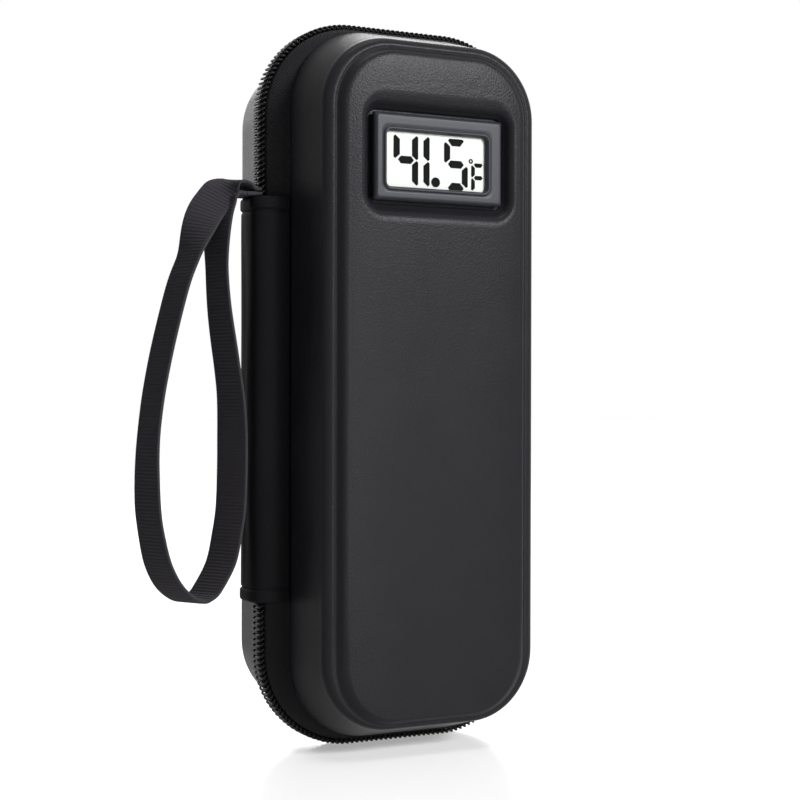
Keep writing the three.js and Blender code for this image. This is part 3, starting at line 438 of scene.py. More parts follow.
def gel_finish(name, colour):
    """Clear film, a little wrinkled, over gel whose depth of colour drifts."""
    finish = Finish(name, colour, 0.2, ior=1.4)
    finish.set(Coat_Weight=0.4, Coat_Roughness=0.12)
    drift = finish.noise(22.0, 2.0)
    bubbles = finish.cells(3.2)
    finish.shade(finish.mix(drift, bubbles, 0.25), 0.72, 1.18)
    finish.rough(drift, 0.16, 0.3)
    finish.bump(finish.noise(4.5, 3.0, stretch=(1.0, 1.0, 0.4)), 0.35)
    return finish.material


def moulded_finish(name, colour, roughness, texture=0.35, ior=1.4):
    """Plastic or rubber with a spark texture from its mould."""
    finish = Finish(name, colour, roughness, ior=ior)
    spark = finish.cells(texture, "SMOOTH_F1")
    flow = finish.noise(8.0, 2.0)
    finish.shade(finish.mix(flow, spark, 0.4), 0.82, 1.2)
    finish.rough(flow, roughness - 0.06, roughness + 0.06)
    finish.bump(spark, 0.02)
    return finish.material


def metal_finish(name, colour, roughness, brushed=(1.0, 1.0, 0.05), metallic=1.0):
    """Metal with fine brush marks and slight wear."""
    finish = Finish(name, colour, roughness, metallic=metallic)
    marks = finish.noise(0.12, 3.0, stretch=brushed)
    wear = finish.noise(2.5, 4.0)
    finish.shade(wear, 0.8, 1.25)
    finish.rough(finish.mix(marks, wear, 0.5), roughness - 0.1, roughness + 0.12)
    finish.bump(marks, 0.006)
    return finish.material


def circuit_finish(name, colour):
    """Solder mask over copper tracks."""
    finish = Finish(name, colour, 0.3, ior=1.45)
    tracks = finish.span(finish.ribs(1.1, kind="Object"), 0.0, 1.0, 0.6, 0.75)
    patches = finish.cells(2.6)
    finish.shade(finish.mix(tracks, patches, 0.5), 0.6, 1.7)
    finish.bump(tracks, 0.03)
    return finish.material


LEATHER = leather_finish("moulded_leather", srgb(27, 27, 30))
SPINE_LEATHER = leather_finish("spine_leather", srgb(20, 19, 21), ior=1.08, roughness=(0.46, 0.6))
TAPE = twill_finish("zip_tape", srgb(36, 36, 38))
COIL = coil_finish("zip_coil", srgb(16, 16, 17))
WEBBING = webbing_finish("webbing", srgb(53, 51, 55))
BEZEL = satin_plastic_finish("bezel_plastic", srgb(35, 36, 42))
LCD = lcd_finish("lcd", srgb(196, 199, 195))
INK = ink_finish("lcd_ink", srgb(8, 8, 9))
THREAD = ink_finish("thread", srgb(34, 33, 35))
LINING = fabric_finish("lining_fabric", srgb(62, 64, 70))
ELASTIC = fabric_finish("elastic", srgb(40, 40, 43), yarn=0.9, depth=0.12)
NET = fabric_finish("pocket_mesh", srgb(34, 34, 37), yarn=0.35)
FOIL = foil_finish("foil_liner", srgb(205, 207, 211))
GEL = gel_finish("gel_pack", srgb(120, 172, 214))
MODULE = moulded_finish("module_plastic", srgb(38, 38, 41), 0.45)
CIRCUIT = circuit_finish("circuit", srgb(24, 86, 48))
COMPONENT = moulded_finish("component_black", srgb(32, 32, 33), 0.5, texture=0.2)
RUBBER = moulded_finish("rubber_black", srgb(26, 26, 27), 0.62, texture=0.5, ior=1.25)
STEEL = metal_finish("bright_steel", srgb(196, 196, 192), 0.26)
BLACK_METAL = metal_finish("black_metal", srgb(30, 30, 32), 0.36, metallic=0.6)


# Mesh helpers


def uneven(x, y, z):
    """Smooth noise from -1 to 1."""
    return noise.noise(Vector((x, y, z)))


def unit_rows(rows):
    return rows / np.linalg.norm(rows, axis=1)[:, None]


def ways_along(line):
    """The way of a line at each of its points."""
    return unit_rows(np.gradient(line, axis=0))


class Surface:
    """Collects grids of points in millimetres and turns them into one object."""

    def __init__(self):
        self.points = []
        self.faces = []
        self.uvs = []
        self.marks = []

    def grid(self, rows, around=False, over=False, mark=0):
        """Quads between equal rows. around joins each row's ends, over joins the last row to the first."""
        rows = np.asarray(rows, float)
        count, width = rows.shape[:2]
        first = len(self.points)
        self.points.extend(rows.reshape(-1, 3).tolist())
        along = np.linalg.norm(np.diff(rows, axis=1, append=rows[:, :1]), axis=2).max(axis=0)
        across = np.linalg.norm(np.diff(rows, axis=0, append=rows[:1]), axis=2).mean(axis=1)
        u = np.concatenate(([0.0], np.cumsum(along)))
        v = np.concatenate(([0.0], np.cumsum(across)))
        for i in range(count if over else count - 1):
            near, far = first + i * width, first + ((i + 1) % count) * width
            for j in range(width if around else width - 1):
                following = (j + 1) % width
                self.faces.append((near + j, near + following, far + following, far + j))
                self.uvs.append(((u[j], v[i]), (u[j + 1], v[i]), (u[j + 1], v[i + 1]), (u[j], v[i + 1])))
                self.marks.append(mark)
        return first

    def face(self, corners, mark=0):
        self.faces.append(tuple(corners))
        self.uvs.append(tuple((self.points[i][0], self.points[i][2]) for i in corners))
        self.marks.append(mark)

    def closed(self, rows, mark=0):
        """A form from rows of points, closed at both ends by flat faces."""
        width = len(rows[0])
        first = self.grid(rows, around=True, mark=mark)
        self.face(range(first, first + width), mark)
        last = first + (len(rows) - 1) * width
        self.face(range(last, last + width), mark)

    def form(self, rows, hollow=False):
        """A closed form from rows of points, or one that is hollow right through its middle."""
        if hollow:
            self.grid(rows, around=True, over=True)
        else:
            self.closed(rows)

    def tube(self, line, radii, sides=8, mark=0, reference=None):
        """A round bar along a line, with flat ends."""
        line = np.asarray(line, float)
        radii = np.broadcast_to(radii, len(line))
        ways = ways_along(line)
        if reference is None:
            reference = np.array([0.3, 0.2, 1.0])
        reference = np.broadcast_to(reference, line.shape)
        first = unit_rows(reference - (reference * ways).sum(1)[:, None] * ways)
        second = np.cross(ways, first)
        angles = np.arange(sides) * 2 * math.pi / sides
        rows = (
            line[:, None]
            + np.cos(angles)[None, :, None] * first[:, None] * radii[:, None, None]
            + np.sin(angles)[None, :, None] * second[:, None] * radii[:, None, None]
        )
        self.closed(rows, mark)

    def build(self, name, body, materials, replaced=(), sharp=35.0):
        mesh = bpy.data.meshes.new(name)
        mesh.from_pydata((np.array(self.points) * MM).tolist(), [], self.faces)
        layer = mesh.uv_layers.new(name="UVMap")
        corners = [value for face in self.uvs for pair in face for value in pair]
        layer.data.foreach_set("uv", corners)
        mesh.polygons.foreach_set("material_index", self.marks)
        for material in materials:
            mesh.materials.append(material)
        work = bmesh.new()
        work.from_mesh(mesh)
        bmesh.ops.recalc_face_normals(work, faces=work.faces)
        work.to_mesh(mesh)
        work.free()
        mesh.shade_smooth()
        mesh.set_sharp_from_angle(angle=math.radians(sharp))
        piece = bpy.data.objects.new(name, mesh)
        scene.collection.objects.link(piece)
        if body:
            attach(piece, body)
        if replaced:
            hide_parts(*replaced)
        return piece


def solid(rows, name, body, material, replaced, sharp=35.0, hollow=False):
    """An object of one material from rows of points."""
    surface = Surface()
    surface.form(rows, hollow)
    return surface.build(name, body, [material], replaced, sharp)


def middle_xz(node):
    low, high = box_mm(node)
    return (low[0] + high[0]) / 2, (low[2] + high[2]) / 2


def spline(points, steps):
    """A smooth row of values through the points, with that many steps between two of them."""
    points = np.asarray(points, float)
    padded = np.vstack((2 * points[0] - points[1], points, 2 * points[-1] - points[-2]))
    rows = []
    for i in range(len(points) - 1):
        a, b, c, d = padded[i:i + 4]
        for step in range(steps):
            t = step / steps
            rows.append(0.5 * (
                2 * b + (c - a) * t + (2 * a - 5 * b + 4 * c - d) * t ** 2 + (3 * b - a - 3 * c + d) * t ** 3
            ))
    rows.append(points[-1])
    return np.array(rows)


def smooth(share):
    share = np.clip(share, 0.0, 1.0)
    return share * share * (3 - 2 * share)


RING_ARC, RING_ACROSS, RING_UP = 26, 88, 170


def ring(half_width, half_height, radius, y, centre=(0.0, CENTRE_Z), counts=(RING_ARC, RING_ACROSS, RING_UP)):
    """A rounded rectangle in the plane of that Y, anticlockwise from the right of its top right corner."""
    arc, across, up = counts
    corners = [(1, 1, 0), (-1, 1, 90), (-1, -1, 180), (1, -1, 270)]
    middles = [np.array((sx * (half_width - radius), sz * (half_height - radius))) for sx, sz, _ in corners]
    points = []
    for turn, (start, straight) in enumerate(zip((0, 90, 180, 270), (across, up, across, up))):
        angles = np.radians(start + 90 * np.arange(arc) / arc)
        points.append(middles[turn] + radius * np.column_stack((np.cos(angles), np.sin(angles))))
        end = math.radians(start + 90)
        leave = radius * np.array((math.cos(end), math.sin(end)))
        one, two = middles[turn] + leave, middles[(turn + 1) % 4] + leave
        points.append(one + (two - one) * (np.arange(straight) / straight)[:, None])
    flat = np.vstack(points)
    return np.column_stack((flat[:, 0] + centre[0], np.full(len(flat), float(y)), flat[:, 1] + centre[1]))


def blended_rows(first, last, shares):
    return [first * (1 - t) + last * t for t in shares]


def lengths_along(line):
    return np.concatenate(([0.0], np.cumsum(np.linalg.norm(np.diff(line, axis=0), axis=1))))


def evenly(line, step):
    """The same line with points at that distance from each other."""
    lengths = lengths_along(line)
    count = max(2, int(round(lengths[-1] / step)))
    at = np.linspace(0.0, lengths[-1], count + 1)
    return np.column_stack([np.interp(at, lengths, line[:, axis]) for axis in range(3)])


def ribbed(line, pitch, relief):
    """Height of even ribs across a line."""
    return relief * (0.5 + 0.5 * np.cos(2 * math.pi * lengths_along(line) / pitch))


def upright_row(place, normal, reach, heights):
    """Points above each other at those heights, that far from the place along the normal."""
    reach = np.broadcast_to(reach, len(heights))
    return np.column_stack((place[0] + normal[0] * reach, place[1] + normal[1] * reach, heights))


def inner_radius(radius, inset):
    """The corner radius that far inside a rounded outline."""
    return max(radius - CORNER_INSET_SHARE * inset, 0.4)


BAND_FACE_SHARE = 0.86
BAND_EDGE_RELIEF = 0.23


def band_section(half_width, half_thickness):
    """Across and height of a woven band's outline, with a thicker edge."""
    across = np.array([-1.0, -0.985, -0.95, -0.9, -0.8, -0.4, 0.0, 0.4, 0.8, 0.9, 0.95, 0.985, 1.0])
    height = np.array([0.0, 0.55, 0.86, 0.88, 0.8, 0.8, 0.8, 0.8, 0.8, 0.88, 0.86, 0.55, 0.0])
    upper = np.column_stack((across * half_width, height * half_thickness))
    lower = np.column_stack((across[-2:0:-1] * half_width, -height[-2:0:-1] * half_thickness))
    return np.vstack((upper, lower))


def band(surface, line, sides, half_width, half_thickness, relief=0.0):
    """A woven band along a line. sides are the ways of its width, relief the height of its ribs."""
    line = np.asarray(line, float)
    sides = np.broadcast_to(sides, line.shape)
    normals = unit_rows(np.cross(sides, ways_along(line)))
    section = band_section(half_width, half_thickness)
    on_face = np.abs(section[:, 0]) < half_width * BAND_FACE_SHARE
    raised = np.where(on_face, 1.0, BAND_EDGE_RELIEF) * np.sign(section[:, 1])
    relief = np.broadcast_to(relief, len(line))
    height = section[None, :, 1] + relief[:, None] * raised[None, :]
    across = section[None, :, 0, None] * sides[:, None]
    surface.closed(line[:, None] + across + height[:, :, None] * normals[:, None])


EDGE_TURNS = np.radians((0, 30, 60, 90))
BLOCK_COUNTS = (5, 3, 4)


def block(surface, half, radius, levels, edge, centre, hole=None, onto=None):
    """A rounded plate between two Ys. hole is its window (half, radius, centre), onto reshapes its rows."""
    low, high = levels
    way = math.copysign(1.0, high - low)
    lips = [(edge * (1 - math.sin(turn)), edge * (1 - math.cos(turn))) for turn in EDGE_TURNS]
    sides = [(inset, low + way * rise) for inset, rise in lips]
    sides += [(inset, high - way * rise) for inset, rise in lips[::-1]]
    rows = [
        ring(half[0] - inset, half[1] - inset, max(radius - inset, 0.05), level, centre, BLOCK_COUNTS)
        for inset, level in sides
    ]
    if hole:
        (wide, tall), hole_radius, middle = hole
        rows += [
            ring(wide + inset, tall + inset, hole_radius + inset, level, middle, BLOCK_COUNTS)
            for inset, level in sides[::-1]
        ]
    surface.form([onto(row) for row in rows] if onto else rows, hollow=bool(hole))


# Shells

SIDE_STEPS = 14
ROUND_STEPS = 10
PROFILE_STEPS = 6
MORPH_STEPS = 34
FLANGE_LIP = [(0.5, 0.0), (0.15, 0.15), (0.0, 0.5)]
FLOOR_BULGE = (0.5, 0.5, 0.0, 0.5, 0.0)
MIDDLE_HALF_WIDTH = 0.6
MIDDLE_RADIUS = 0.5


def middle_ring(half_height, y, shift=0.0):
    """The narrow upright ring on which a closed face or floor ends."""
    return ring(MIDDLE_HALF_WIDTH, half_height, MIDDLE_RADIUS, y, (0.0, CENTRE_Z + shift))


def rim_level(shell, inset, depth):
    half_width, half_height, _ = shell["flange"]
    rim_in, rim_end, radius, _ = shell["rim"]
    return (
        half_width - rim_in - inset,
        half_height - rim_end - inset * (TOP_INSET_SHARE + FOOT_INSET_SHARE) / 2,
        radius - inset * CORNER_INSET_SHARE,
        depth,
        -inset * (TOP_INSET_SHARE - FOOT_INSET_SHARE) / 2,
    )


def outside_levels(shell):
    """Levels (half width, half height, radius, depth, shift in Z) from the flange over the rim's round."""
    rim_depth = shell["rim"][3]
    flange = np.array((*shell["flange"], FLANGE_DEPTH, 0.0))
    levels = [flange + (-inset, -inset, -inset, rise, 0.0) for inset, rise in FLANGE_LIP]
    lip, rim = levels[-1], np.array(rim_level(shell, 0.0, rim_depth))
    levels += [lip + (rim - lip) * step / SIDE_STEPS for step in range(1, SIDE_STEPS)]
    for step in range(ROUND_STEPS):
        angle = step / ROUND_STEPS * math.pi / 2
        inset = RIM_ROUND * (1 - math.cos(angle))
        levels.append(rim_level(shell, inset, rim_depth + RIM_ROUND * math.sin(angle)))
    return levels


def level_row(shell, level):
    half_width, half_height, radius, depth, shift = level
    return ring(half_width, half_height, radius, shell["facing"] * depth, (0.0, CENTRE_Z + shift))


def step_rows(shell):
    """Rows over the moulded step, which is clear at the sides and the top and fades at the foot."""
    crest = shell["rim"][3] + RIM_ROUND
    edge = shell["face"] + STEP_FACE[-1][1]
    points = [(RIM_ROUND, crest)] + [(inset, crest + rise) for inset, rise in STEP_CREST]
    points += [(inset, shell["face"] + rise) for inset, rise in STEP_FACE]
    rows = []
    for inset, depth in spline(points, PROFILE_STEPS):
        run = (inset - RIM_ROUND) / (STEP_FACE[-1][0] - RIM_ROUND)
        plain = crest + (edge - crest) * smooth(run)
        row = level_row(shell, rim_level(shell, inset, depth))
        low, high = STEP_FADE_Z
        share = STEP_AT_FOOT_SHARE + (1 - STEP_AT_FOOT_SHARE) * smooth((row[:, 2] - low) / (high - low))
        row[:, 1] = shell["facing"] * (plain + (depth - plain) * share)
        rows.append(row)
    return rows


def outside_rows(shell):
    return [level_row(shell, level) for level in outside_levels(shell)] + step_rows(shell)


def from_plateau_edge(points, shell):
    """How far inside the edge of the plateau each point lies."""
    half_width, half_height, radius, _, shift = rim_level(shell, STEP_FACE[-1][0], 0.0)
    beside = np.abs(points[:, 0]) - (half_width - radius)
    beyond = np.abs(points[:, 2] - CENTRE_Z - shift) - (half_height - radius)
    corner = np.hypot(np.maximum(beside, 0), np.maximum(beyond, 0))
    return np.maximum(radius - corner - np.minimum(np.maximum(beside, beyond), 0), 0)


def pillowed(row, shell):
    """The face rises a little from the edge of its plateau and swells unevenly, as leather does."""
    rise = 1 - np.exp(-from_plateau_edge(row, shell) / PLATEAU_RUN)
    facing = shell["facing"]
    swell = [uneven(x / SWELL_SIZE, facing * 3.1, z / SWELL_SIZE) for x, y, z in row]
    row[:, 1] += facing * rise * (PLATEAU_DIP + SWELL_REACH * np.array(swell))
    return row


def inside_levels(shell, wall=SHELL_WALL, rise=0.0, steps=3):
    """Levels from the floor's edge to the flange, a wall inside the shell and that far above its floor."""
    half_width, half_height, radius = shell["flange"]
    depth = shell["floor"] - rise
    foot = np.array(rim_level(shell, 0.0, depth - INNER_ROUND))
    foot[:3] -= wall
    floor = foot.copy()
    floor[:3] -= INNER_ROUND
    floor[3] = depth
    top = np.array((half_width - wall, half_height - wall, radius - wall, FLANGE_DEPTH, 0.0))
    rounded = spline([floor, foot * 0.5 + floor * 0.5 + FLOOR_BULGE, foot], 3)
    return list(rounded) + [foot + (top - foot) * (step + 1) / steps for step in range(steps)]


BASIN = {"half_width": 25.4, "half_height": 15.5, "radius": 3.5, "floor": 29.1}
BASIN_PROFILE = [(6.0, 0.0), (4.9, -0.1), (3.8, -0.4), (2.7, -1.05), (1.7, -2.1), (0.9, -3.0), (0.2, -3.6)]
BASIN_SIDE_SHARE = 0.66
BASIN_MOAT = [(-0.05, 28.3), (-0.3, 28.0), (-1.25, 28.0), (-1.7, 29.1)]
BEZEL_LOW, BEZEL_HIGH = box_mm("display_bezel")
DISPLAY = ((BEZEL_LOW[0] + BEZEL_HIGH[0]) / 2, (BEZEL_LOW[2] + BEZEL_HIGH[2]) / 2)
CUTOUT = (23.0, 13.3, 0.8)
CRUMPLE_RUN = 10.0
CRUMPLE_SIZE = (3.4, 2.3)
CRUMPLE_DEPTH = 0.06


def basin_ring(outset, depth):
    return ring(
        BASIN["half_width"] + outset * (BASIN_SIDE_SHARE if outset > 0 else 1),
        BASIN["half_height"] + outset,
        BASIN["radius"] + outset,
        -depth,
        centre=DISPLAY,
    )


def crumpled(points, shell):
    """Fine uneven creases in the leather around the display, most of them above it."""
    half_height = BASIN["half_height"] + BASIN_PROFILE[0][0]
    for point, gap in zip(points, from_plateau_edge(points, shell)):
        above = point[2] - DISPLAY[1] - half_height
        fade = smooth(gap / CRUMPLE_RUN) * smooth(1 + above / CRUMPLE_RUN)
        crease = uneven(point[0] / CRUMPLE_SIZE[0], point[2] / CRUMPLE_SIZE[1], 1.7)
        point[1] += CRUMPLE_DEPTH * fade * abs(crease)
    return points


def make_front_shell():
    shell = LID
    rows = outside_rows(shell)
    edge = basin_ring(BASIN_PROFILE[0][0], shell["face"] - PLATEAU_DIP)
    shares = [smooth(k / MORPH_STEPS) for k in range(1, MORPH_STEPS)]
    face = [pillowed(row, shell) for row in blended_rows(rows[-1], edge, shares)]
    rows += [crumpled(row, shell) for row in face]
    profile = spline([(outset, shell["face"] + drop) for outset, drop in BASIN_PROFILE], 4)
    brim = crumpled(pillowed(edge.copy(), shell), shell)[:, 1] + shell["face"]
    for (outset, depth), share in zip(profile, np.linspace(1, 0, len(profile))):
        row = basin_ring(outset, depth)
        row[:, 1] += brim * share
        rows.append(row)
    rows += [basin_ring(outset, depth) for outset, depth in BASIN_MOAT]
    side, end, radius = CUTOUT
    rows.append(ring(side, end, radius, -BASIN["floor"], centre=DISPLAY))
    hole = ring(side, end, radius, -shell["floor"], centre=DISPLAY)
    rows.append(hole)
    inside = [level_row(shell, level) for level in inside_levels(shell)]
    rows += blended_rows(hole, inside[0], (0.1, 0.3, 0.6))
    rows += inside
    solid(rows, "lid_shell", "front_half", LEATHER, ["front_shell"], hollow=True)


def make_rear_shell():
    shell = BACK
    outside = outside_rows(shell)
    half_width, half_height, _, depth, shift = rim_level(shell, STEP_FACE[-1][0], shell["face"])
    reach = half_height - half_width
    line = middle_ring(reach, depth - PLATEAU_DIP, shift)
    shares = [k / MORPH_STEPS for k in range(1, MORPH_STEPS + 1)]
    face = [pillowed(row, shell) for row in blended_rows(outside[-1], line, shares)]
    inside = [level_row(shell, level) for level in inside_levels(shell)]
    floor = blended_rows(middle_ring(reach, shell["floor"]), inside[0], (0.0, 0.25, 0.5, 0.75))
    rows = floor + inside + outside + face
    solid(rows, "back_shell", "rear_half", LEATHER, ["rear_shell"])


# Zip: woven bands and rows of coil teeth

PARTING_Y = -1.05
TAPE_INSET = 2.0
TAPE_THICKNESS = 1.2
BAND_TURN_Y = 4.0
BAND_TURN_RUN = 2.0
BAND_LEVELS = [
    (0.0, None), (0.0, 3.0), (0.0, 4.1), (0.06, 4.7), (0.3, 5.8), (0.66, 6.9), (1.0, 7.7), (1.06, 8.3),
]
SEAM_HALF_GAP = 0.12
COIL_FLANK = 3.55
TOOTH_REACH = 0.55
COIL_UNDER_SPINE = 0.4
TOOTH_PITCH = 1.85
STRAND_RADIUS = 0.43
SPINE_LOW, SPINE_HIGH = box_mm("spine_panel")
CROWN_ARC = CROWN_RADIUS * math.pi / 2
CROWN_ACROSS = 2 * (CROWN_HALF_WIDTH - CROWN_RADIUS)
CROWN_UP = 2 * (CROWN_HALF_HEIGHT - CROWN_RADIUS)
CROWN_SPANS = [CROWN_ARC, CROWN_ACROSS, CROWN_ARC, CROWN_UP] * 2
CROWN_LENGTH = sum(CROWN_SPANS)


def crown_level(inset, y):
    return np.array((CROWN_HALF_WIDTH - inset, CROWN_HALF_HEIGHT - inset, CROWN_RADIUS - inset, y))


def make_band(name, shell, seam, node, body):
    """Tape from the zip to the shell's flange, closed round its inside."""
    facing = shell["facing"]
    crown = crown_level(TAPE_INSET, 0.0)
    flange = np.array((*shell["flange"], 0.0))
    stations = []
    for share, depth in BAND_LEVELS:
        level = crown + (flange - crown) * share
        level[3] = seam if depth is None else facing * depth
        stations.append(level)
    outer = spline(stations, 4)
    inner = outer.copy()
    inner[:, :3] -= TAPE_THICKNESS
    turned_in = smooth((np.abs(outer[:, 3]) - BAND_TURN_Y) / BAND_TURN_RUN)
    inner[:, 3] -= facing * TAPE_THICKNESS * turned_in
    rows = [ring(*level) for level in list(outer) + list(inner[::-1])]
    solid(rows, name, body, TAPE, [node], hollow=True)


def crown_track(length):
    """Places, outward ways and ways along, each (x, z), from the right of the crown's top right corner."""
    length = np.mod(length, CROWN_LENGTH)
    edges = np.concatenate(([0.0], np.cumsum(CROWN_SPANS)))
    span = np.clip(np.searchsorted(edges, length, side="right") - 1, 0, len(CROWN_SPANS) - 1)
    along = length - edges[span]
    corner = span // 2
    on_arc = span % 2 == 0
    angle = np.where(on_arc, corner * math.pi / 2 + along / CROWN_RADIUS, (corner + 1) * math.pi / 2)
    out = np.column_stack((np.cos(angle), np.sin(angle)))
    way = np.column_stack((-np.sin(angle), np.cos(angle)))
    run = np.where(on_arc, 0.0, along)[:, None]
    half = np.array((CROWN_HALF_WIDTH - CROWN_RADIUS, CROWN_HALF_HEIGHT - CROWN_RADIUS))
    middles = half * ((1, 1), (-1, 1), (-1, -1), (1, -1))
    return middles[corner] + CROWN_RADIUS * out + way * run + (0.0, CENTRE_Z), out, way


def coil_loop(flank, head):
    """One loop, from under the chain: (share of the pitch, y, height over the crown, thickness)."""
    middle = (flank + head) / 2
    swell = math.copysign(1.0, head - flank)
    return [
        (0.00, middle, -1.75, 1.0),
        (0.06, flank + swell * 0.75, -1.75, 1.0),
        (0.14, flank + swell * 0.12, -1.5, 1.0),
        (0.34, flank, -1.12, 1.0),
        (0.56, flank + swell * 0.04, -0.72, 1.0),
        (0.70, flank + swell * 0.3, -0.42, 1.0),
        (0.76, flank + swell * 0.9, -0.36, 1.0),
        (0.80, middle, -0.36, 1.0),
        (0.83, head - swell * 0.9, -0.38, 1.05),
        (0.86, head - swell * 0.25, -0.45, 1.2),
        (0.89, head + swell * 0.1, -0.9, 1.28),
        (0.93, head - swell * 0.2, -1.45, 1.1),
        (0.97, head - swell * 0.9, -1.75, 1.0),
    ]


def make_coil(name, flank, head, phase, node, body):
    """The teeth are one wound strand, which stops where the leather spine takes over."""
    count = round(CROWN_LENGTH / TOOTH_PITCH)
    pitch = CROWN_LENGTH / count
    loop = np.array(coil_loop(flank, head))
    start = np.arange(count) * pitch + phase * pitch
    place, out, way = crown_track((start[:, None] + loop[None, :, 0] * pitch).ravel())
    _, y, height, thickness = np.tile(loop, (count, 1)).T
    over = place + out * height[:, None]
    line = np.column_stack((over[:, 0], y, over[:, 1]))
    ways = np.column_stack((way[:, 0], np.zeros(len(way)), way[:, 1]))
    low, high = SPINE_LOW[2] + COIL_UNDER_SPINE, SPINE_HIGH[2] - COIL_UNDER_SPINE
    hidden = np.flatnonzero((place[:, 0] < 0) & (place[:, 1] > low) & (place[:, 1] < high))
    order = np.concatenate((np.arange(hidden[-1] + 1, len(line)), np.arange(hidden[0])))
    surface = Surface()
    surface.tube(line[order], thickness[order] * STRAND_RADIUS, sides=7, reference=ways[order])
    surface.build(name, body, [COIL], [node], sharp=60.0)


def make_zip():
    make_band("lid_tape", LID, PARTING_Y - SEAM_HALF_GAP, "front_band", "front_half")
    make_band("back_tape", BACK, PARTING_Y + SEAM_HALF_GAP, "rear_band", "rear_half")
    make_coil("lid_teeth", -COIL_FLANK, PARTING_Y + TOOTH_REACH, 0.0, "front_coil", "front_half")
    make_coil("back_teeth", COIL_FLANK, PARTING_Y - TOOTH_REACH, 0.5, "rear_coil", "rear_half")


# Leather spine: one sheet from shell to shell, in two pieces that meet on the middle of the spine

SPINE_OUT = -SPINE_LOW[0]
SPINE_THICKNESS = 1.4
FLAP_END = -box_mm("spine_flap_front")[1][0]
FOLD_LINE = [(0.0, 0.0), (0.0, 2.2), (0.25, 4.4), (1.15, 6.2), (2.6, 7.45), (4.4, 8.15), (6.6, 8.45)]
HEM_HEIGHT = 4.2
HEM_RELIEF = 0.4
HEM_GROOVE = 0.5
SPINE_PUFF = 0.22
PANEL_START = 9.0
PANEL_ROWS = 60
FLAP_TUCK = 0.4
FLAP_END_Y = 8.75
FLAP_RELIEF_SHARE = 0.55


def spine_height_rows():
    """Heights from the lower to the upper edge, close together at the hems."""
    low, high = SPINE_LOW[2], SPINE_HIGH[2]
    hem = np.array([0.0, 0.15, 0.5, 1.2, 2.1, 3.0, 3.7, 4.1, 4.4, 4.7, 5.1, 5.8, 7.0])
    middle = np.linspace(low + PANEL_START, high - PANEL_START, PANEL_ROWS)
    return np.concatenate((low + hem, middle, (high - hem)[::-1]))


def hem_relief(z):
    """Height of the turned hem over the panel: rounded at the edge, with a stitched groove inside it."""
    edge = np.minimum(z - SPINE_LOW[2], SPINE_HIGH[2] - z)
    raised = HEM_RELIEF * smooth(edge / 0.7 + 0.25) * (1 - smooth((edge - HEM_HEIGHT + 0.6) / 0.7))
    groove = -HEM_GROOVE * np.exp(-((edge - HEM_HEIGHT - 0.3) / 0.4) ** 2)
    return raised + groove - 0.6 * (1 - smooth(edge / 0.8))


def spine_section(facing):
    outer = SPINE_OUT - SPINE_THICKNESS / 2 - HEM_RELIEF
    line = [(-(outer - x), facing * y) for x, y in FOLD_LINE]
    line.append((-FLAP_END - FLAP_TUCK, facing * FLAP_END_Y))
    return spline(line, 5)


def make_spine_half(name, facing):
    section = spine_section(facing)
    ways = ways_along(section)
    normals = facing * np.column_stack((-ways[:, 1], ways[:, 0]))
    heights = spine_height_rows()
    relief = hem_relief(heights)
    half = SPINE_THICKNESS / 2
    rows = []
    for place, normal, share in zip(section, normals, np.linspace(1.0, FLAP_RELIEF_SHARE, len(section))):
        puff = np.array([SPINE_PUFF * uneven(place[1] / 3.5, z / 24, 5.0) for z in heights])
        outer = upright_row(place, normal, half + share * (relief + puff), heights)
        rows.append(np.vstack((outer, upright_row(place, normal, -half, heights)[::-1])))
    replaced = ["spine_panel", f"spine_flap_{'front' if facing < 0 else 'rear'}"]
    piece = solid(rows, name, None, SPINE_LEATHER, replaced)
    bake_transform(piece)


def make_spine():
    make_spine_half("spine_leather_front", -1)
    make_spine_half("spine_leather_rear", 1)


# Wrist strap of ribbed webbing, along the same line as in the frame

TAB_LOW, TAB_HIGH = box_mm("strap_tab")
STRAP_WIDTH = TAB_HIGH[1] - TAB_LOW[1]
STRAP_THICKNESS = 1.2
STRAP_REACH = 32.6
STRAP_DROP = 137.8
STRAP_TWIST = math.radians(30)
STRAP_RIB = 1.15
STRAP_RELIEF = 0.16
ROOT_RUN = 34.0
ROOT_ROLL = math.radians(48)
RETURN_ROLL = math.radians(-20)
STRAP_PATH_SHARES = [
    (0, 0.0058), (0.083, 0.002), (0.169, 0.0155), (0.286, 0.0475), (0.408, 0.093), (0.542, 0.18),
    (0.653, 0.247), (0.767, 0.346), (0.864, 0.446), (0.936, 0.544), (0.978, 0.65), (0.975, 0.77),
    (0.928, 0.851), (0.856, 0.917), (0.73, 0.969), (0.55, 1), (0.42, 0.992), (0.33, 0.968),
    (0.202, 0.912), (0.138, 0.845), (0.098, 0.779), (0.083, 0.677), (0.086, 0.578), (0.102, 0.511),
    (0.141, 0.443), (0.227, 0.3), (0.255, 0.176), (0.236, 0.093), (0.165, 0.0435), (0.08, 0.029),
    (0.03, 0.0319), (0, 0.0319),
]
STRAP_TWIST_SHARES = [0, 0.58, 0.54, 0.49, 0.72, 1, 1, 1, 0.68, 0.45, 0]


def strap_line():
    root = TAB_LOW[0] - 0.3
    top = TAB_HIGH[2] - STRAP_THICKNESS / 2 + STRAP_PATH_SHARES[0][1] * STRAP_DROP
    points = [(root - reach * STRAP_REACH, 0.0, top - drop * STRAP_DROP) for reach, drop in STRAP_PATH_SHARES]
    low_layer = TAB_LOW[2] + STRAP_THICKNESS / 2
    points[-1] = (points[-1][0], 0.0, low_layer)
    points[-2] = (points[-2][0], 0.0, low_layer)
    return evenly(spline(points, 24), STRAP_RIB / 5)


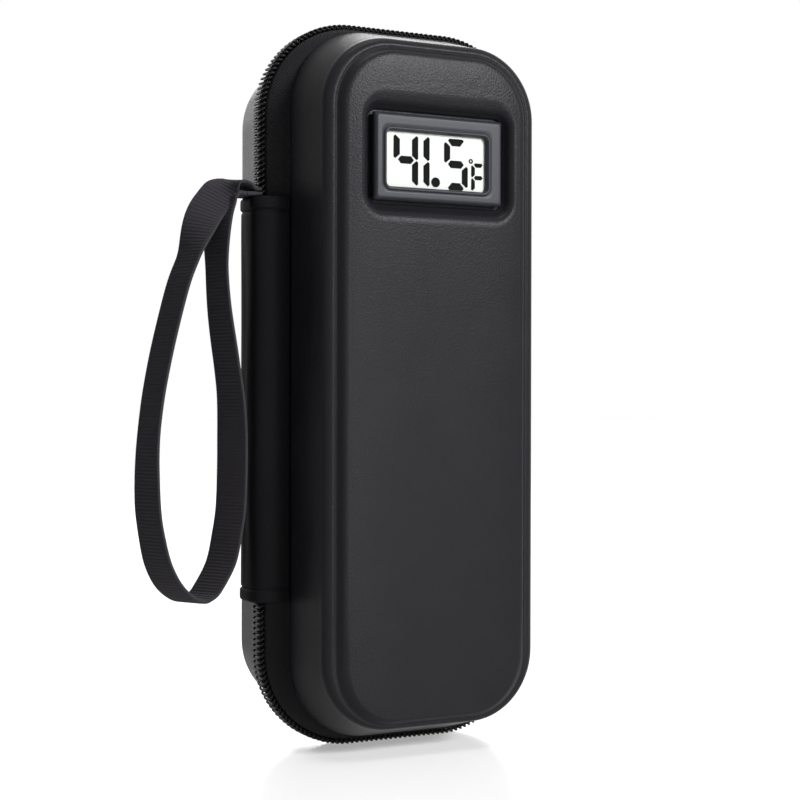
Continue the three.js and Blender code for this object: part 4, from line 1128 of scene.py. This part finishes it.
def webbing(surface, line, twists, rolls):
    """Ribbed webbing along a line; its flat side turns with the twists and rolls about the line."""
    across = np.column_stack((-np.sin(twists), np.cos(twists), np.zeros(len(line))))
    crossed = np.cross(across, ways_along(line))
    across = unit_rows(np.cos(rolls)[:, None] * across + np.sin(rolls)[:, None] * crossed)
    band(surface, line, across, STRAP_WIDTH / 2, STRAP_THICKNESS / 2, ribbed(line, STRAP_RIB, STRAP_RELIEF))


def make_strap():
    line = strap_line()
    shares = np.linspace(0.0, 1.0, len(line)) * (len(STRAP_TWIST_SHARES) - 1)
    step = np.minimum(shares.astype(int), len(STRAP_TWIST_SHARES) - 2)
    table = np.array(STRAP_TWIST_SHARES)
    twists = STRAP_TWIST * (table[step] + (table[step + 1] - table[step]) * smooth(shares - step))
    run = lengths_along(line) / ROOT_RUN
    left = run[-1] - run
    rolls = ROOT_ROLL * smooth(run * 3.6) * (1 - smooth((run - 0.4) / 0.6))
    rolls += RETURN_ROLL * smooth(left * 4) * (1 - smooth((left - 0.3) / 0.6))
    surface = Surface()
    webbing(surface, line, twists, rolls)
    surface.build("wrist_webbing", "wrist_strap", [WEBBING], ["wrist_strap"], sharp=70.0)
    make_strap_tab()


def make_strap_tab():
    """The strap's two ends, which close up and go down into the mouth of the spine."""
    upper = TAB_HIGH[2] - STRAP_THICKNESS / 2
    lower = TAB_LOW[2] + STRAP_THICKNESS / 2
    outer, inner = TAB_LOW[0] - 0.1, TAB_HIGH[0]
    over = [(outer, 0, upper), (outer + 1.4, 0, upper - 0.5), (outer + 3.0, 0, upper - 1.9)]
    over.append((inner - 0.3, 0, lower + 1.4))
    under = [(outer, 0, lower), (outer + 2.0, 0, lower), (inner - 0.2, 0, lower)]
    surface = Surface()
    for points in (over, under):
        line = evenly(spline(points, 8), STRAP_RIB / 5)
        straight = np.zeros(len(line))
        webbing(surface, line, straight, straight)
    surface.build("strap_ends", "spine", [WEBBING], ["strap_tab"], sharp=70.0)


# Thermometer: bezel with a raised lip round its window, and the readout

BEZEL_HALF = ((BEZEL_HIGH[0] - BEZEL_LOW[0]) / 2, (BEZEL_HIGH[2] - BEZEL_LOW[2]) / 2)
BEZEL_BACK = -BEZEL_HIGH[1]
BEZEL_FRONT = -BEZEL_LOW[1]
WINDOW = {"half_width": 18.6, "half_height": 9.0, "radius": 1.6, "x": -0.85, "z": -0.7}
LIP_PROFILE = [
    (1.8, 0.0), (1.55, -0.12), (1.35, 0.1), (1.05, 0.5), (0.65, 0.52), (0.4, 0.2), (0.1, -0.35), (0.0, -0.8),
]
LCD_LOW, LCD_HIGH = box_mm("lcd_panel")
BEZEL_COUNTS = (8, 20, 14)
BEZEL_RADIUS = 0.9
LCD_GAP = 0.15
LCD_ROOM = 0.3
LEDGE_WIDTH = 2.0


def window_ring(outset, depth):
    return ring(
        WINDOW["half_width"] + outset,
        WINDOW["half_height"] + outset,
        WINDOW["radius"] + outset * 0.8,
        -depth,
        centre=(DISPLAY[0] + WINDOW["x"], DISPLAY[1] + WINDOW["z"]),
        counts=BEZEL_COUNTS,
    )


def bezel_ring(inset, depth):
    half_width, half_height = BEZEL_HALF
    return ring(half_width - inset, half_height - inset, BEZEL_RADIUS, -depth, DISPLAY, BEZEL_COUNTS)


def make_bezel():
    side = [(0.15, BEZEL_BACK), (0.0, BEZEL_BACK + 0.15)]
    side += [(0.0, BEZEL_FRONT - 1.25), (0.06, BEZEL_FRONT - 0.95)]
    slope = [(0.85, BEZEL_FRONT - 0.14), (1.05, BEZEL_FRONT - 0.02), (1.35, BEZEL_FRONT)]
    rows = [bezel_ring(inset, depth) for inset, depth in side + slope]
    lip = [window_ring(outset, BEZEL_FRONT + rise) for outset, rise in spline(LIP_PROFILE, 3)]
    rows += blended_rows(rows[-1], lip[0], (0.35, 0.7))
    rows += lip
    ledge = -LCD_LOW[1] + LCD_GAP
    rows += [window_ring(outset, ledge) for outset in (0.0, LEDGE_WIDTH)]
    half = (LCD_HIGH[0] - DISPLAY[0] + LCD_ROOM, LCD_HIGH[2] - DISPLAY[1] + LCD_ROOM)
    rows += [ring(*half, LCD_ROOM, -depth, DISPLAY, BEZEL_COUNTS) for depth in (ledge, BEZEL_BACK)]
    node = ["display_bezel"]
    solid(rows, "thermometer_bezel", "front_half", BEZEL, node, sharp=50.0, hollow=True)


# Linings of crinkled foil over thin foam

LINER_THICKNESS = 1.5
LINER_GAP = 0.3
FOIL_CRINKLE = 0.22
CRINKLE_SIZE = 5.5
LINER_MIDDLE_END = 40.0
FRAME_LOW, FRAME_HIGH = box_mm("retaining_frame")
HOUSING_HALF = (BEZEL_HALF[0] - 1.3, BEZEL_HALF[1] - 1.3)


def crinkled(points, facing):
    """Creases of the foil, sunk into the foam."""
    for point in points:
        at = point / CRINKLE_SIZE
        point[1] += facing * FOIL_CRINKLE * (abs(uneven(*at)) + 0.5 * abs(uneven(*at * 2.3)))
    return points


def pressed_by_frame(points, depth):
    """Where the retaining frame clamps the liner, the foam is squeezed flat behind it."""
    for point in points:
        within = FRAME_LOW[0] - LINER_GAP < point[0] < FRAME_HIGH[0] + LINER_GAP
        within &= FRAME_LOW[2] - LINER_GAP < point[2] < FRAME_HIGH[2] + LINER_GAP
        if within and -point[1] > -FRAME_HIGH[1] - LINER_GAP:
            point[1] = -depth
    return points


def liner_rows(shell, middle_in, middle_out):
    """Rows over the visible face, round the free edge and back over the face on the shell."""
    facing = shell["facing"]
    inner, outer = [
        [level_row(shell, level) for level in inside_levels(shell, SHELL_WALL + gap, gap, 12)]
        for gap in (LINER_GAP + LINER_THICKNESS, LINER_GAP)
    ]
    shares = np.linspace(0.0, 1.0, 26)[:-1]
    visible = blended_rows(middle_in, inner[0], shares) + inner[:-1]
    inner = [crinkled(row, facing) for row in visible] + inner[-1:]
    outer = blended_rows(middle_out, outer[0], shares) + outer
    return inner, outer[::-1]


def make_liners():
    floor = BACK["floor"] - LINER_GAP
    reach = CENTRE_Z - BACK_LOW[2] - LINER_MIDDLE_END
    inner, outer = liner_rows(BACK, middle_ring(reach, floor - LINER_THICKNESS), middle_ring(reach, floor))
    solid(inner + outer, "back_foil_liner", "rear_half", FOIL, ["rear_liner"])

    floor = LID["floor"] - LINER_GAP
    wide, tall = HOUSING_HALF[0] + LINER_GAP, HOUSING_HALF[1] + LINER_GAP
    edges = [ring(wide, tall, MIDDLE_RADIUS, -depth, DISPLAY) for depth in (floor - LINER_THICKNESS, floor)]
    inner, outer = liner_rows(LID, *edges)
    rows = [pressed_by_frame(row, floor + 0.1) for row in inner]
    rows += [pressed_by_frame(row, floor + 0.25) for row in outer]
    solid(rows, "lid_foil_liner", "front_half", FOIL, ["front_liner"], hollow=True)


# Cold packs: gel in film, swollen inside a flat welded edge

PACK_CORNER = 14.0
WELD_WIDTH = 4.0
WELD_HALF = 0.5
CROWN_RUN = 20.0
PACK_INSETS = np.append(np.linspace(WELD_WIDTH, WELD_WIDTH + CROWN_RUN, 16), np.linspace(25.5, 32.0, 6))
WELD_PROFILE = [(2.7, WELD_HALF - 0.05), (1.3, WELD_HALF + 0.02), (0.25, WELD_HALF - 0.1), (0.0, 0.0)]
SWELL_ROOM = 0.6


def make_gel_pack(node, body, seed):
    low, high = box_mm(node)
    half = (high - low) / 2
    centre = (0.0, (low[2] + high[2]) / 2)
    middle, swell = (low[1] + high[1]) / 2, half[1] - SWELL_ROOM
    run = np.clip((PACK_INSETS - WELD_WIDTH) / CROWN_RUN, 0.0, 1.0)
    crown = WELD_HALF + (swell - WELD_HALF) * (1 - (1 - run) ** 2.4) ** 0.55
    side = list(zip(PACK_INSETS[::-1], crown[::-1])) + WELD_PROFILE
    profile = side + [(inset, -rise) for inset, rise in side[-2::-1]]
    rows = []
    for inset, rise in profile:
        row = ring(half[0] - inset, half[2] - inset, inner_radius(PACK_CORNER, inset), middle + rise, centre)
        share = math.copysign(smooth((abs(rise) - WELD_HALF) / 2.5), rise)
        for point in row:
            x, _, z = point
            puckers = abs(uneven(x / 4, z / 4, seed + 9)) * math.exp(-abs(rise) / 3.5)
            point[1] += share * (0.55 * uneven(x / 13, z / 13, seed) - 1.3 * puckers)
        rows.append(row)
    pack = solid(rows, f"{node}_film", body, GEL, [node], sharp=60.0)


# Net pocket in the lid: a perforated sheet, its hem and the elastic along its top

NET_LOW, NET_HIGH = box_mm("mesh_pocket")
NET_CORNER = 20.1
NET_PITCH = 2.2
NET_HOLE = 0.74
NET_HALF_THICKNESS = 0.14
HEM_HALF = 1.7
BINDING_RIB = 1.7
BINDING_RELIEF = 0.18
BINDING_ROOM = 0.15
HEM_HALF_THICKNESS = 0.36
STITCH_STEP = 1.2
STITCH_INSET = 0.9
THREAD_RADIUS = 0.14


def within_pocket(x, z, margin):
    """Whether a point lies inside the pocket's outline, whose two lower corners are round."""
    radius = NET_CORNER - margin
    side = abs(x) - (NET_HIGH[0] - NET_CORNER)
    drop = NET_LOW[2] + NET_CORNER - z
    if side <= 0 or drop <= 0:
        return abs(x) < NET_HIGH[0] - margin and z > NET_LOW[2] + margin
    return side * side + drop * drop < radius * radius


def make_net():
    wide, tall = NET_HIGH[0] - NET_LOW[0], NET_HIGH[2] - NET_LOW[2]
    across, up = round(wide / NET_PITCH), round(tall / NET_PITCH)
    step_x, step_z = wide / across / 2, tall / up / 2
    middle = (NET_LOW[1] + NET_HIGH[1]) / 2
    levels = (middle - NET_HALF_THICKNESS, middle + NET_HALF_THICKNESS)
    tiles = {
        (i, j) for i in range(across) for j in range(up)
        if within_pocket(NET_LOW[0] + (2 * i + 1) * step_x, NET_LOW[2] + (2 * j + 1) * step_z, 0.9)
    }
    surface = Surface()
    known = {}

    def corner(i, j, side):
        if (i, j, side) not in known:
            known[(i, j, side)] = len(surface.points)
            surface.points.append([NET_LOW[0] + i * step_x, levels[side], NET_LOW[2] + j * step_z])
        return known[(i, j, side)]

    around = [(0, 0), (1, 0), (2, 0), (2, 1), (2, 2), (1, 2), (0, 2), (0, 1)]
    beside = [(0, -1), (0, -1), (1, 0), (1, 0), (0, 1), (0, 1), (-1, 0), (-1, 0)]
    turns = [math.radians(225 + 45 * k) for k in range(8)]
    for i, j in sorted(tiles):
        centre = (NET_LOW[0] + (2 * i + 1) * step_x, NET_LOW[2] + (2 * j + 1) * step_z)
        outer = [[corner(2 * i + a, 2 * j + b, side) for a, b in around] for side in (0, 1)]
        inner = []
        for side in (0, 1):
            first = len(surface.points)
            surface.points.extend(
                [centre[0] + NET_HOLE * math.cos(t), levels[side], centre[1] + NET_HOLE * math.sin(t)]
                for t in turns
            )
            inner.append(list(range(first, first + 8)))
        for k in range(8):
            n = (k + 1) % 8
            surface.face((outer[0][k], outer[0][n], inner[0][n], inner[0][k]))
            surface.face((outer[1][n], outer[1][k], inner[1][k], inner[1][n]))
            surface.face((inner[0][k], inner[0][n], inner[1][n], inner[1][k]))
            if (i + beside[k][0], j + beside[k][1]) not in tiles:
                surface.face((outer[0][n], outer[0][k], outer[1][k], outer[1][n]))
    net = surface.build("pocket_net", "front_half", [NET], ["mesh_pocket"], sharp=50.0)
    make_pocket_hem(middle)


def make_pocket_hem(middle):
    """The folded tape that is sewn round the net's sides and foot."""
    side, foot = NET_HIGH[0] - HEM_HALF, NET_LOW[2] + HEM_HALF
    radius = NET_CORNER - HEM_HALF
    turns = np.radians(np.linspace(180, 270, 16))
    arc = np.column_stack((-(side - radius) + radius * np.cos(turns), foot + radius + radius * np.sin(turns)))
    left = np.vstack(([(-side, NET_HIGH[2])], arc))
    flat = np.vstack((left, left[::-1] * (-1, 1)))
    line = evenly(np.column_stack((flat[:, 0], np.full(len(flat), middle), flat[:, 1])), STITCH_STEP)
    sides = np.cross(ways_along(line), (0.0, 1.0, 0.0))
    surface = Surface()
    band(surface, line, sides, HEM_HALF, HEM_HALF_THICKNESS)
    stitches = line - sides * STITCH_INSET - (0.0, HEM_HALF_THICKNESS, 0.0)
    for start in range(1, len(stitches) - 3, 2):
        surface.tube(stitches[start:start + 2], THREAD_RADIUS, sides=5, mark=1)
    return surface.build("pocket_hem", "front_half", [ELASTIC, THREAD], sharp=60.0)


def make_pocket_elastic():
    low, high = box_mm("pocket_binding")
    half = (high - low) / 2
    ends = np.array((low, high))
    ends[:, 1:] = ((low + high) / 2)[1:]
    line = evenly(ends, BINDING_RIB / 6)
    surface = Surface()
    gather = ribbed(line, BINDING_RIB, BINDING_RELIEF)
    band(surface, line, (0.0, 0.0, 1.0), half[2], half[1] - BINDING_ROOM, gather)
    surface.build("pocket_elastic", "front_half", [ELASTIC], ["pocket_binding"], sharp=60.0)


# Pen holder: a padded board with loops of elastic

BOARD_LOW, BOARD_HIGH = box_mm("pen_panel")
BOARD_CORNER = 18.7
BOARD_PROFILE = [
    (24.0, 2.3), (8.0, 2.35), (3.2, 2.4), (2.4, 2.5), (1.3, 2.75), (0.35, 2.35), (0.0, 1.4), (0.35, 0.4),
    (1.3, 0.03), (2.2, 0.2), (2.7, 0.55), (3.3, 0.4), (4.6, 0.14), (8.0, 0.05),
]
BOARD_FACE = [(14.0, 0.02), (20.0, 0.0), (26.0, 0.0), (32.0, 0.02), (37.0, 0.04)]
PEN_COUNT = 3
PEN_PITCH = 23.0
PEN_LOOP_RADIUS = 9.8
ELASTIC_THICKNESS = 1.0


def make_pen_board():
    half = (BOARD_HIGH - BOARD_LOW) / 2
    rows = [
        ring(half[0] - inset, half[2] - inset, inner_radius(BOARD_CORNER, inset), BOARD_LOW[1] + depth)
        for inset, depth in spline(BOARD_PROFILE + BOARD_FACE, 3)
    ]
    board = solid(rows, "pen_board", "rear_half", LINING, ["pen_panel"])


def pen_loop_line(low, high):
    """The elastic's line across the board, up and over each pen."""
    foot = high[1] - ELASTIC_THICKNESS / 2
    spring = low[1] + PEN_LOOP_RADIUS + ELASTIC_THICKNESS / 2
    points = [(low[0], foot)]
    for pen in range(PEN_COUNT):
        centre = (pen - (PEN_COUNT - 1) / 2) * PEN_PITCH
        left = [(centre - PEN_LOOP_RADIUS - 1.2, foot), (centre - PEN_LOOP_RADIUS - 0.25, foot - 0.4)]
        left += [(centre - PEN_LOOP_RADIUS, foot - 1.6), (centre - PEN_LOOP_RADIUS, (foot + spring) / 2)]
        turns = np.linspace(math.pi, 0.0, 13)
        arc = [
            (centre + PEN_LOOP_RADIUS * math.cos(t), spring - PEN_LOOP_RADIUS * math.sin(t))
            for t in turns
        ]
        points += left + arc + [(2 * centre - x, y) for x, y in left[::-1]]
    points.append((high[0], foot))
    middle = (low[2] + high[2]) / 2
    return evenly(np.array([(x, y, middle) for x, y in spline(points, 4)]), 0.5)


def bar_tack(surface, x, y, low, high):
    """A tight zigzag of thread."""
    z = np.arange(low + 1.5, high - 1.5, 0.45)
    side = np.where(np.arange(len(z)) % 2, 0.6, -0.6)
    surface.tube(np.column_stack((x + side, np.full(len(z), y), z)), 0.15, sides=5, mark=1)


def make_pen_loops(name, node):
    low, high = box_mm(node)
    surface = Surface()
    line = pen_loop_line(low, high)
    band(surface, line, (0.0, 0.0, 1.0), (high[2] - low[2]) / 2, ELASTIC_THICKNESS / 2)
    gap = PEN_PITCH / 2
    for place in (low[0] + 1.4, -gap, gap, high[0] - 1.4):
        bar_tack(surface, place, high[1] - ELASTIC_THICKNESS + 0.02, low[2], high[2])
    surface.build(name, "rear_half", [ELASTIC, THREAD], [node], sharp=60.0)


# Cloth inside the spine

CLOTH_LOW, CLOTH_HIGH = box_mm("spine_lining")
CLOTH_HALF = 0.33
CLOTH_BEND = 2.05
CLOTH_INSET = 0.35


def make_spine_cloth():
    out, half = CLOTH_LOW[0] + CLOTH_INSET, CLOTH_HIGH[1] - CLOTH_INSET
    turns = np.linspace(0.0, math.pi / 2, 7)
    side = [(CLOTH_HIGH[0], half)]
    side += [(out + CLOTH_BEND * (1 - math.sin(t)), half - CLOTH_BEND * (1 - math.cos(t))) for t in turns]
    line = evenly(np.array(side + [(x, -y) for x, y in side[::-1]]) @ np.eye(2, 3), 0.8)[:, :2]
    ways = ways_along(line)
    normals = np.column_stack((-ways[:, 1], ways[:, 0]))
    heights = np.linspace(CLOTH_LOW[2], CLOTH_HIGH[2], 90)
    rows = []
    for place, normal in zip(line, normals):
        ripple = np.array([0.05 * uneven(place[1] / 4, z / 9, 2.0) for z in heights])
        over = upright_row(place, normal, ripple + CLOTH_HALF, heights)
        rows.append(np.vstack((over, upright_row(place, normal, ripple - CLOTH_HALF, heights)[::-1])))
    cloth = solid(rows, "spine_cloth", "spine", LINING, ["spine_lining"], sharp=60.0)


# Fittings on the back of the thermometer's housing

BUTTON_PROFILE = [
    (0.05, 0.0), (1.7, 0.0), (2.0, 0.3), (2.0, 3.95), (2.6, 4.0), (2.8, 4.2), (2.8, 4.8), (2.6, 5.0),
    (2.0, 5.02), (2.0, 7.4), (1.75, 7.75), (1.3, 7.8), (0.9, 7.66), (0.05, 7.6),
]
PROBE_PROFILE = [
    (0.05, 0.0), (1.9, 0.0), (2.0, 0.1), (2.0, 6.3), (1.86, 6.4), (1.86, 6.75), (2.0, 6.85), (2.0, 8.2),
    (1.85, 8.9), (1.3, 9.4), (0.05, 9.5),
]
GROMMET_PROFILE = [(2.3, 0.0), (3.1, 0.0), (3.1, 0.8), (2.95, 1.25), (2.65, 1.5), (2.35, 1.4)]
DOOR_GRIP_PITCH = 1.5
DOOR_GRIP_HEIGHT = 0.6


def make_turned(name, node, profile, slot, material, body, hollow=False, sides=36):
    """A round form about a line along Y, from points (radius, height over the node's lowest Y)."""
    low = box_mm(node)[0]
    x, z = middle_xz(node)
    angles = np.arange(sides) * 2 * math.pi / sides
    rows = []
    for radius, rise in profile:
        y = np.full(sides, low[1] + rise)
        rows.append(np.column_stack((x + radius * np.cos(angles), y, z + radius * np.sin(angles))))
    solid(rows, name, body, material, [node], sharp=40.0, hollow=hollow)


def make_battery_door():
    low, high = box_mm("battery_door")
    half = (high - low) / 2
    centre = middle_xz("battery_door")
    outside = high[1] - DOOR_GRIP_HEIGHT
    surface = Surface()
    block(surface, (half[0], half[2]), 0.9, (low[1], outside), 0.25, centre)
    for step in (-1, 0, 1):
        grip = (centre[0], centre[1] - half[2] / 2 + step * DOOR_GRIP_PITCH)
        reach = half[0] / 2 - 0.9 * abs(step)
        block(surface, (reach, 0.36), 0.3, (outside - 0.2, high[1]), 0.28, grip)
    surface.build("battery_hatch", "battery_door", [MODULE], ["battery_door"])


def make_retaining_frame():
    half = (FRAME_HIGH - FRAME_LOW) / 2
    window = ((HOUSING_HALF[0] + LINER_GAP, HOUSING_HALF[1] + LINER_GAP), 0.4, DISPLAY)
    levels = (FRAME_LOW[1], FRAME_HIGH[1])
    surface = Surface()
    block(surface, (half[0], half[2]), 3.0, levels, 0.45, middle_xz("retaining_frame"), hole=window)
    surface.build("module_clamp_frame", "front_half", [MODULE], ["retaining_frame"])


def make_inside():
    make_liners()
    make_gel_pack("front_gel_pack", "front_half", 3.3)
    make_gel_pack("rear_gel_pack", "rear_half", 7.1)
    make_pocket_elastic()
    make_net()
    make_pen_board()
    make_pen_loops("pen_loops_upper", "pen_strap_upper")
    make_pen_loops("pen_loops_lower", "pen_strap_lower")
    make_spine_cloth()
    rubber = ("rubber_black", RUBBER)
    make_turned("unit_key", "unit_button", BUTTON_PROFILE, *rubber, "unit_button")
    make_turned("probe_tip", "temperature_sensor", PROBE_PROFILE, "bright_steel", STEEL, "front_half")
    make_turned("probe_seal", "sensor_grommet", GROMMET_PROFILE, *rubber, "front_half", hollow=True)
    make_battery_door()
    make_retaining_frame()


# Zip sliders and their pulls, which lie on the right side

SLIDER_PLATE = (51.3, 52.6)
SLIDER_NOSE_SHARE = 0.68
FLANGE_Y = 4.7
BAIL_LINE = [
    (0.0, -2.3), (1.7, -2.3), (2.4, -2.05), (2.75, -1.3), (2.75, 0.0), (2.75, 1.3), (2.4, 2.05), (1.7, 2.3),
    (0.0, 2.3),
]
PULL_ROD = 0.55


def sideways(points):
    """Turns a plate that stands on Y so that it stands on X."""
    return points[:, [1, 0, 2]]


def make_slider(end, way):
    low, high = box_mm(f"zip_slider_{end}")
    pull_low, pull_high = box_mm(f"zip_pull_{end}")
    meet = low[2] if way > 0 else high[2]
    length = high[2] - low[2]
    hook = pull_high[2] - PULL_ROD

    def narrowed(points):
        points = sideways(points)
        along = (points[:, 2] - meet) * way / length
        points[:, 1] *= SLIDER_NOSE_SHARE + (1 - SLIDER_NOSE_SHARE) * smooth(along * 2)
        return points

    surface = Surface()
    block(surface, (5.0, length / 2), 1.8, SLIDER_PLATE, 0.4, (0.0, meet + way * length / 2), onto=narrowed)
    for side in (-1, 1):
        centre = (side * FLANGE_Y, meet + way * length * 0.75)
        reach = (low[0] + 0.05, SLIDER_PLATE[1] - 0.3)
        block(surface, (0.4, length / 4), 0.3, reach, 0.2, centre, onto=sideways)
    bridge = spline([(SLIDER_PLATE[1] + rise, 0.0, hook + run) for rise, run in BAIL_LINE], 5)
    band(surface, bridge, (0.0, 1.0, 0.0), 1.1, 0.45)
    surface.build(f"slider_{end}_metal", f"slider_{end}", [BLACK_METAL], [f"zip_slider_{end}"])

    middle = (pull_low[0] + pull_high[0]) / 2
    half = ((pull_high[1] - pull_low[1]) / 2, (pull_high[2] - pull_low[2]) / 2)
    centre = (0.0, (pull_low[2] + pull_high[2]) / 2)
    window = ((2.0, 1.8), 0.8, (0.0, hook - PULL_ROD - 1.8))
    surface = Surface()
    block(surface, half, 1.5, (middle - 0.45, middle + 0.45), 0.3, centre, hole=window, onto=sideways)
    grip = (0.0, pull_low[2] + 4.6)
    frame = ((1.5, 2.7), 0.6, grip)
    block(surface, (2.4, 3.6), 1.1, (pull_low[0], pull_high[0]), 0.25, grip, hole=frame, onto=sideways)
    surface.build(f"pull_{end}_metal", f"pull_{end}", [BLACK_METAL], [f"zip_pull_{end}"])


# Readout: places are shares of the panel that the window shows, from its left and from its top

READOUT_LEFT = DISPLAY[0] + WINDOW["x"] - WINDOW["half_width"] + 0.78
READOUT_WIDTH = 2 * WINDOW["half_width"] - 0.78
READOUT_TOP = DISPLAY[1] + WINDOW["z"] + WINDOW["half_height"]
READOUT_HEIGHT = 2 * WINDOW["half_height"]
FIGURE_TOP_SHARE, FIGURE_MIDDLE_SHARE, FIGURE_BOTTOM_SHARE = 0.045, 0.5, 0.965
STROKE = 2.3
SEGMENT_GAP = 0.12
INK_THICKNESS = 0.06
INK_BACK = LCD_LOW[1] - 0.02
INK_FRONT = INK_BACK - INK_THICKNESS
TIP_SHARE = 0.45
CUT_SHARE = 0.85
POINT_RADIUS = 1.65
DEGREE_RADII = (0.82, 0.32)

# The bars of 41.5 F: left, top, right, bottom, share of the stroke, and which side is the long one
BARS = [
    (0.09, FIGURE_TOP_SHARE, 0.09, FIGURE_MIDDLE_SHARE - 0.01, 1, -1),
    (0.277, FIGURE_TOP_SHARE, 0.277, FIGURE_MIDDLE_SHARE, 1, 1),
    (0.277, FIGURE_MIDDLE_SHARE, 0.277, FIGURE_BOTTOM_SHARE, 1, 1),
    (0.1, FIGURE_MIDDLE_SHARE, 0.268, FIGURE_MIDDLE_SHARE, 1.1, 0),
    (0.394, FIGURE_TOP_SHARE, 0.394, FIGURE_MIDDLE_SHARE, 1, 1),
    (0.394, FIGURE_MIDDLE_SHARE, 0.394, FIGURE_BOTTOM_SHARE, 1, 1),
    (0.607, 0.11, 0.607, FIGURE_MIDDLE_SHARE + 0.005, 1, -1),
    (0.612, 0.115, 0.785, 0.115, 1.05, 1),
    (0.612, 0.518, 0.785, 0.518, 1.1, 0),
    (0.792, 0.535, 0.792, 0.945, 1, 1),
    (0.612, 0.925, 0.785, 0.925, 1.05, -1),
    (0.879, 0.5, 0.879, 0.74, 0.62, -1),
    (0.879, 0.74, 0.879, 0.985, 0.62, -1),
    (0.884, 0.507, 0.985, 0.507, 0.62, 0.6),
    (0.884, 0.738, 0.985, 0.738, 0.62, 0),
]


def readout(u, v):
    return np.array((READOUT_LEFT + u * READOUT_WIDTH, READOUT_TOP - v * READOUT_HEIGHT))


def prism(surface, outline):
    """A thin plate on the panel with that outline."""
    surface.closed([[(x, y, z) for x, z in outline] for y in (INK_BACK, INK_FRONT)])


def segment(surface, start, end, width, outer=0.0):
    """A bar with cut ends from tip to tip. outer, from -1 to 1, says which side is the long one."""
    way = (end - start) / np.linalg.norm(end - start)
    side = np.array((-way[1], way[0]))
    half = width / 2
    tip = outer * half * TIP_SHARE
    left_cut, right_cut = (half - tip) * CUT_SHARE, (half + tip) * CUT_SHARE
    start, end = start + way * SEGMENT_GAP, end - way * SEGMENT_GAP
    prism(surface, [
        start + side * tip,
        start + side * half + way * left_cut,
        end + side * half - way * left_cut,
        end + side * tip,
        end - side * half - way * right_cut,
        start - side * half + way * right_cut,
    ])


def disc(surface, centre, radius, hole=0.0, steps=28):
    angles = np.arange(steps) * 2 * math.pi / steps
    circle = np.column_stack((np.cos(angles), np.sin(angles)))
    rim, inner = centre + radius * circle, centre + hole * circle
    if not hole:
        prism(surface, rim)
        return
    edges = [(rim, INK_BACK), (rim, INK_FRONT), (inner, INK_FRONT), (inner, INK_BACK)]
    surface.form([[(x, y, z) for x, z in outline] for outline, y in edges], hollow=True)


def make_readout():
    surface = Surface()
    for left, top, right, bottom, share, outer in BARS:
        segment(surface, readout(left, top), readout(right, bottom), STROKE * share, outer)
    disc(surface, readout(0.488, 0.872), POINT_RADIUS)
    disc(surface, readout(0.855, 0.437), *DEGREE_RADII)
    surface.build("readout_figures", "front_half", [INK])


def paint(node, material):
    mesh = nodes[node].data
    mesh.materials.clear()
    mesh.materials.append(material)


def make_display():
    make_bezel()
    make_readout()
    painted = {
        "lcd_panel": LCD, "circuit_board": CIRCUIT, "driver_chip": COMPONENT, "tact_switch": COMPONENT,
        "zebra_strip_upper": RUBBER, "zebra_strip_lower": RUBBER,
        "coin_cell_left": STEEL, "coin_cell_right": STEEL, "cell_contact": STEEL,
        "cell_cradle": MODULE, "thermometer_housing": MODULE,
    }
    for node, material in painted.items():
        paint(node, material)


# The scene

scene.view_settings.view_transform = "Standard"
make_camera()
make_world()
make_floor()
make_lamps()
make_front_shell()
make_rear_shell()
make_zip()
make_spine()
make_strap()
make_display()
make_inside()
make_slider("upper", 1)
make_slider("lower", -1)
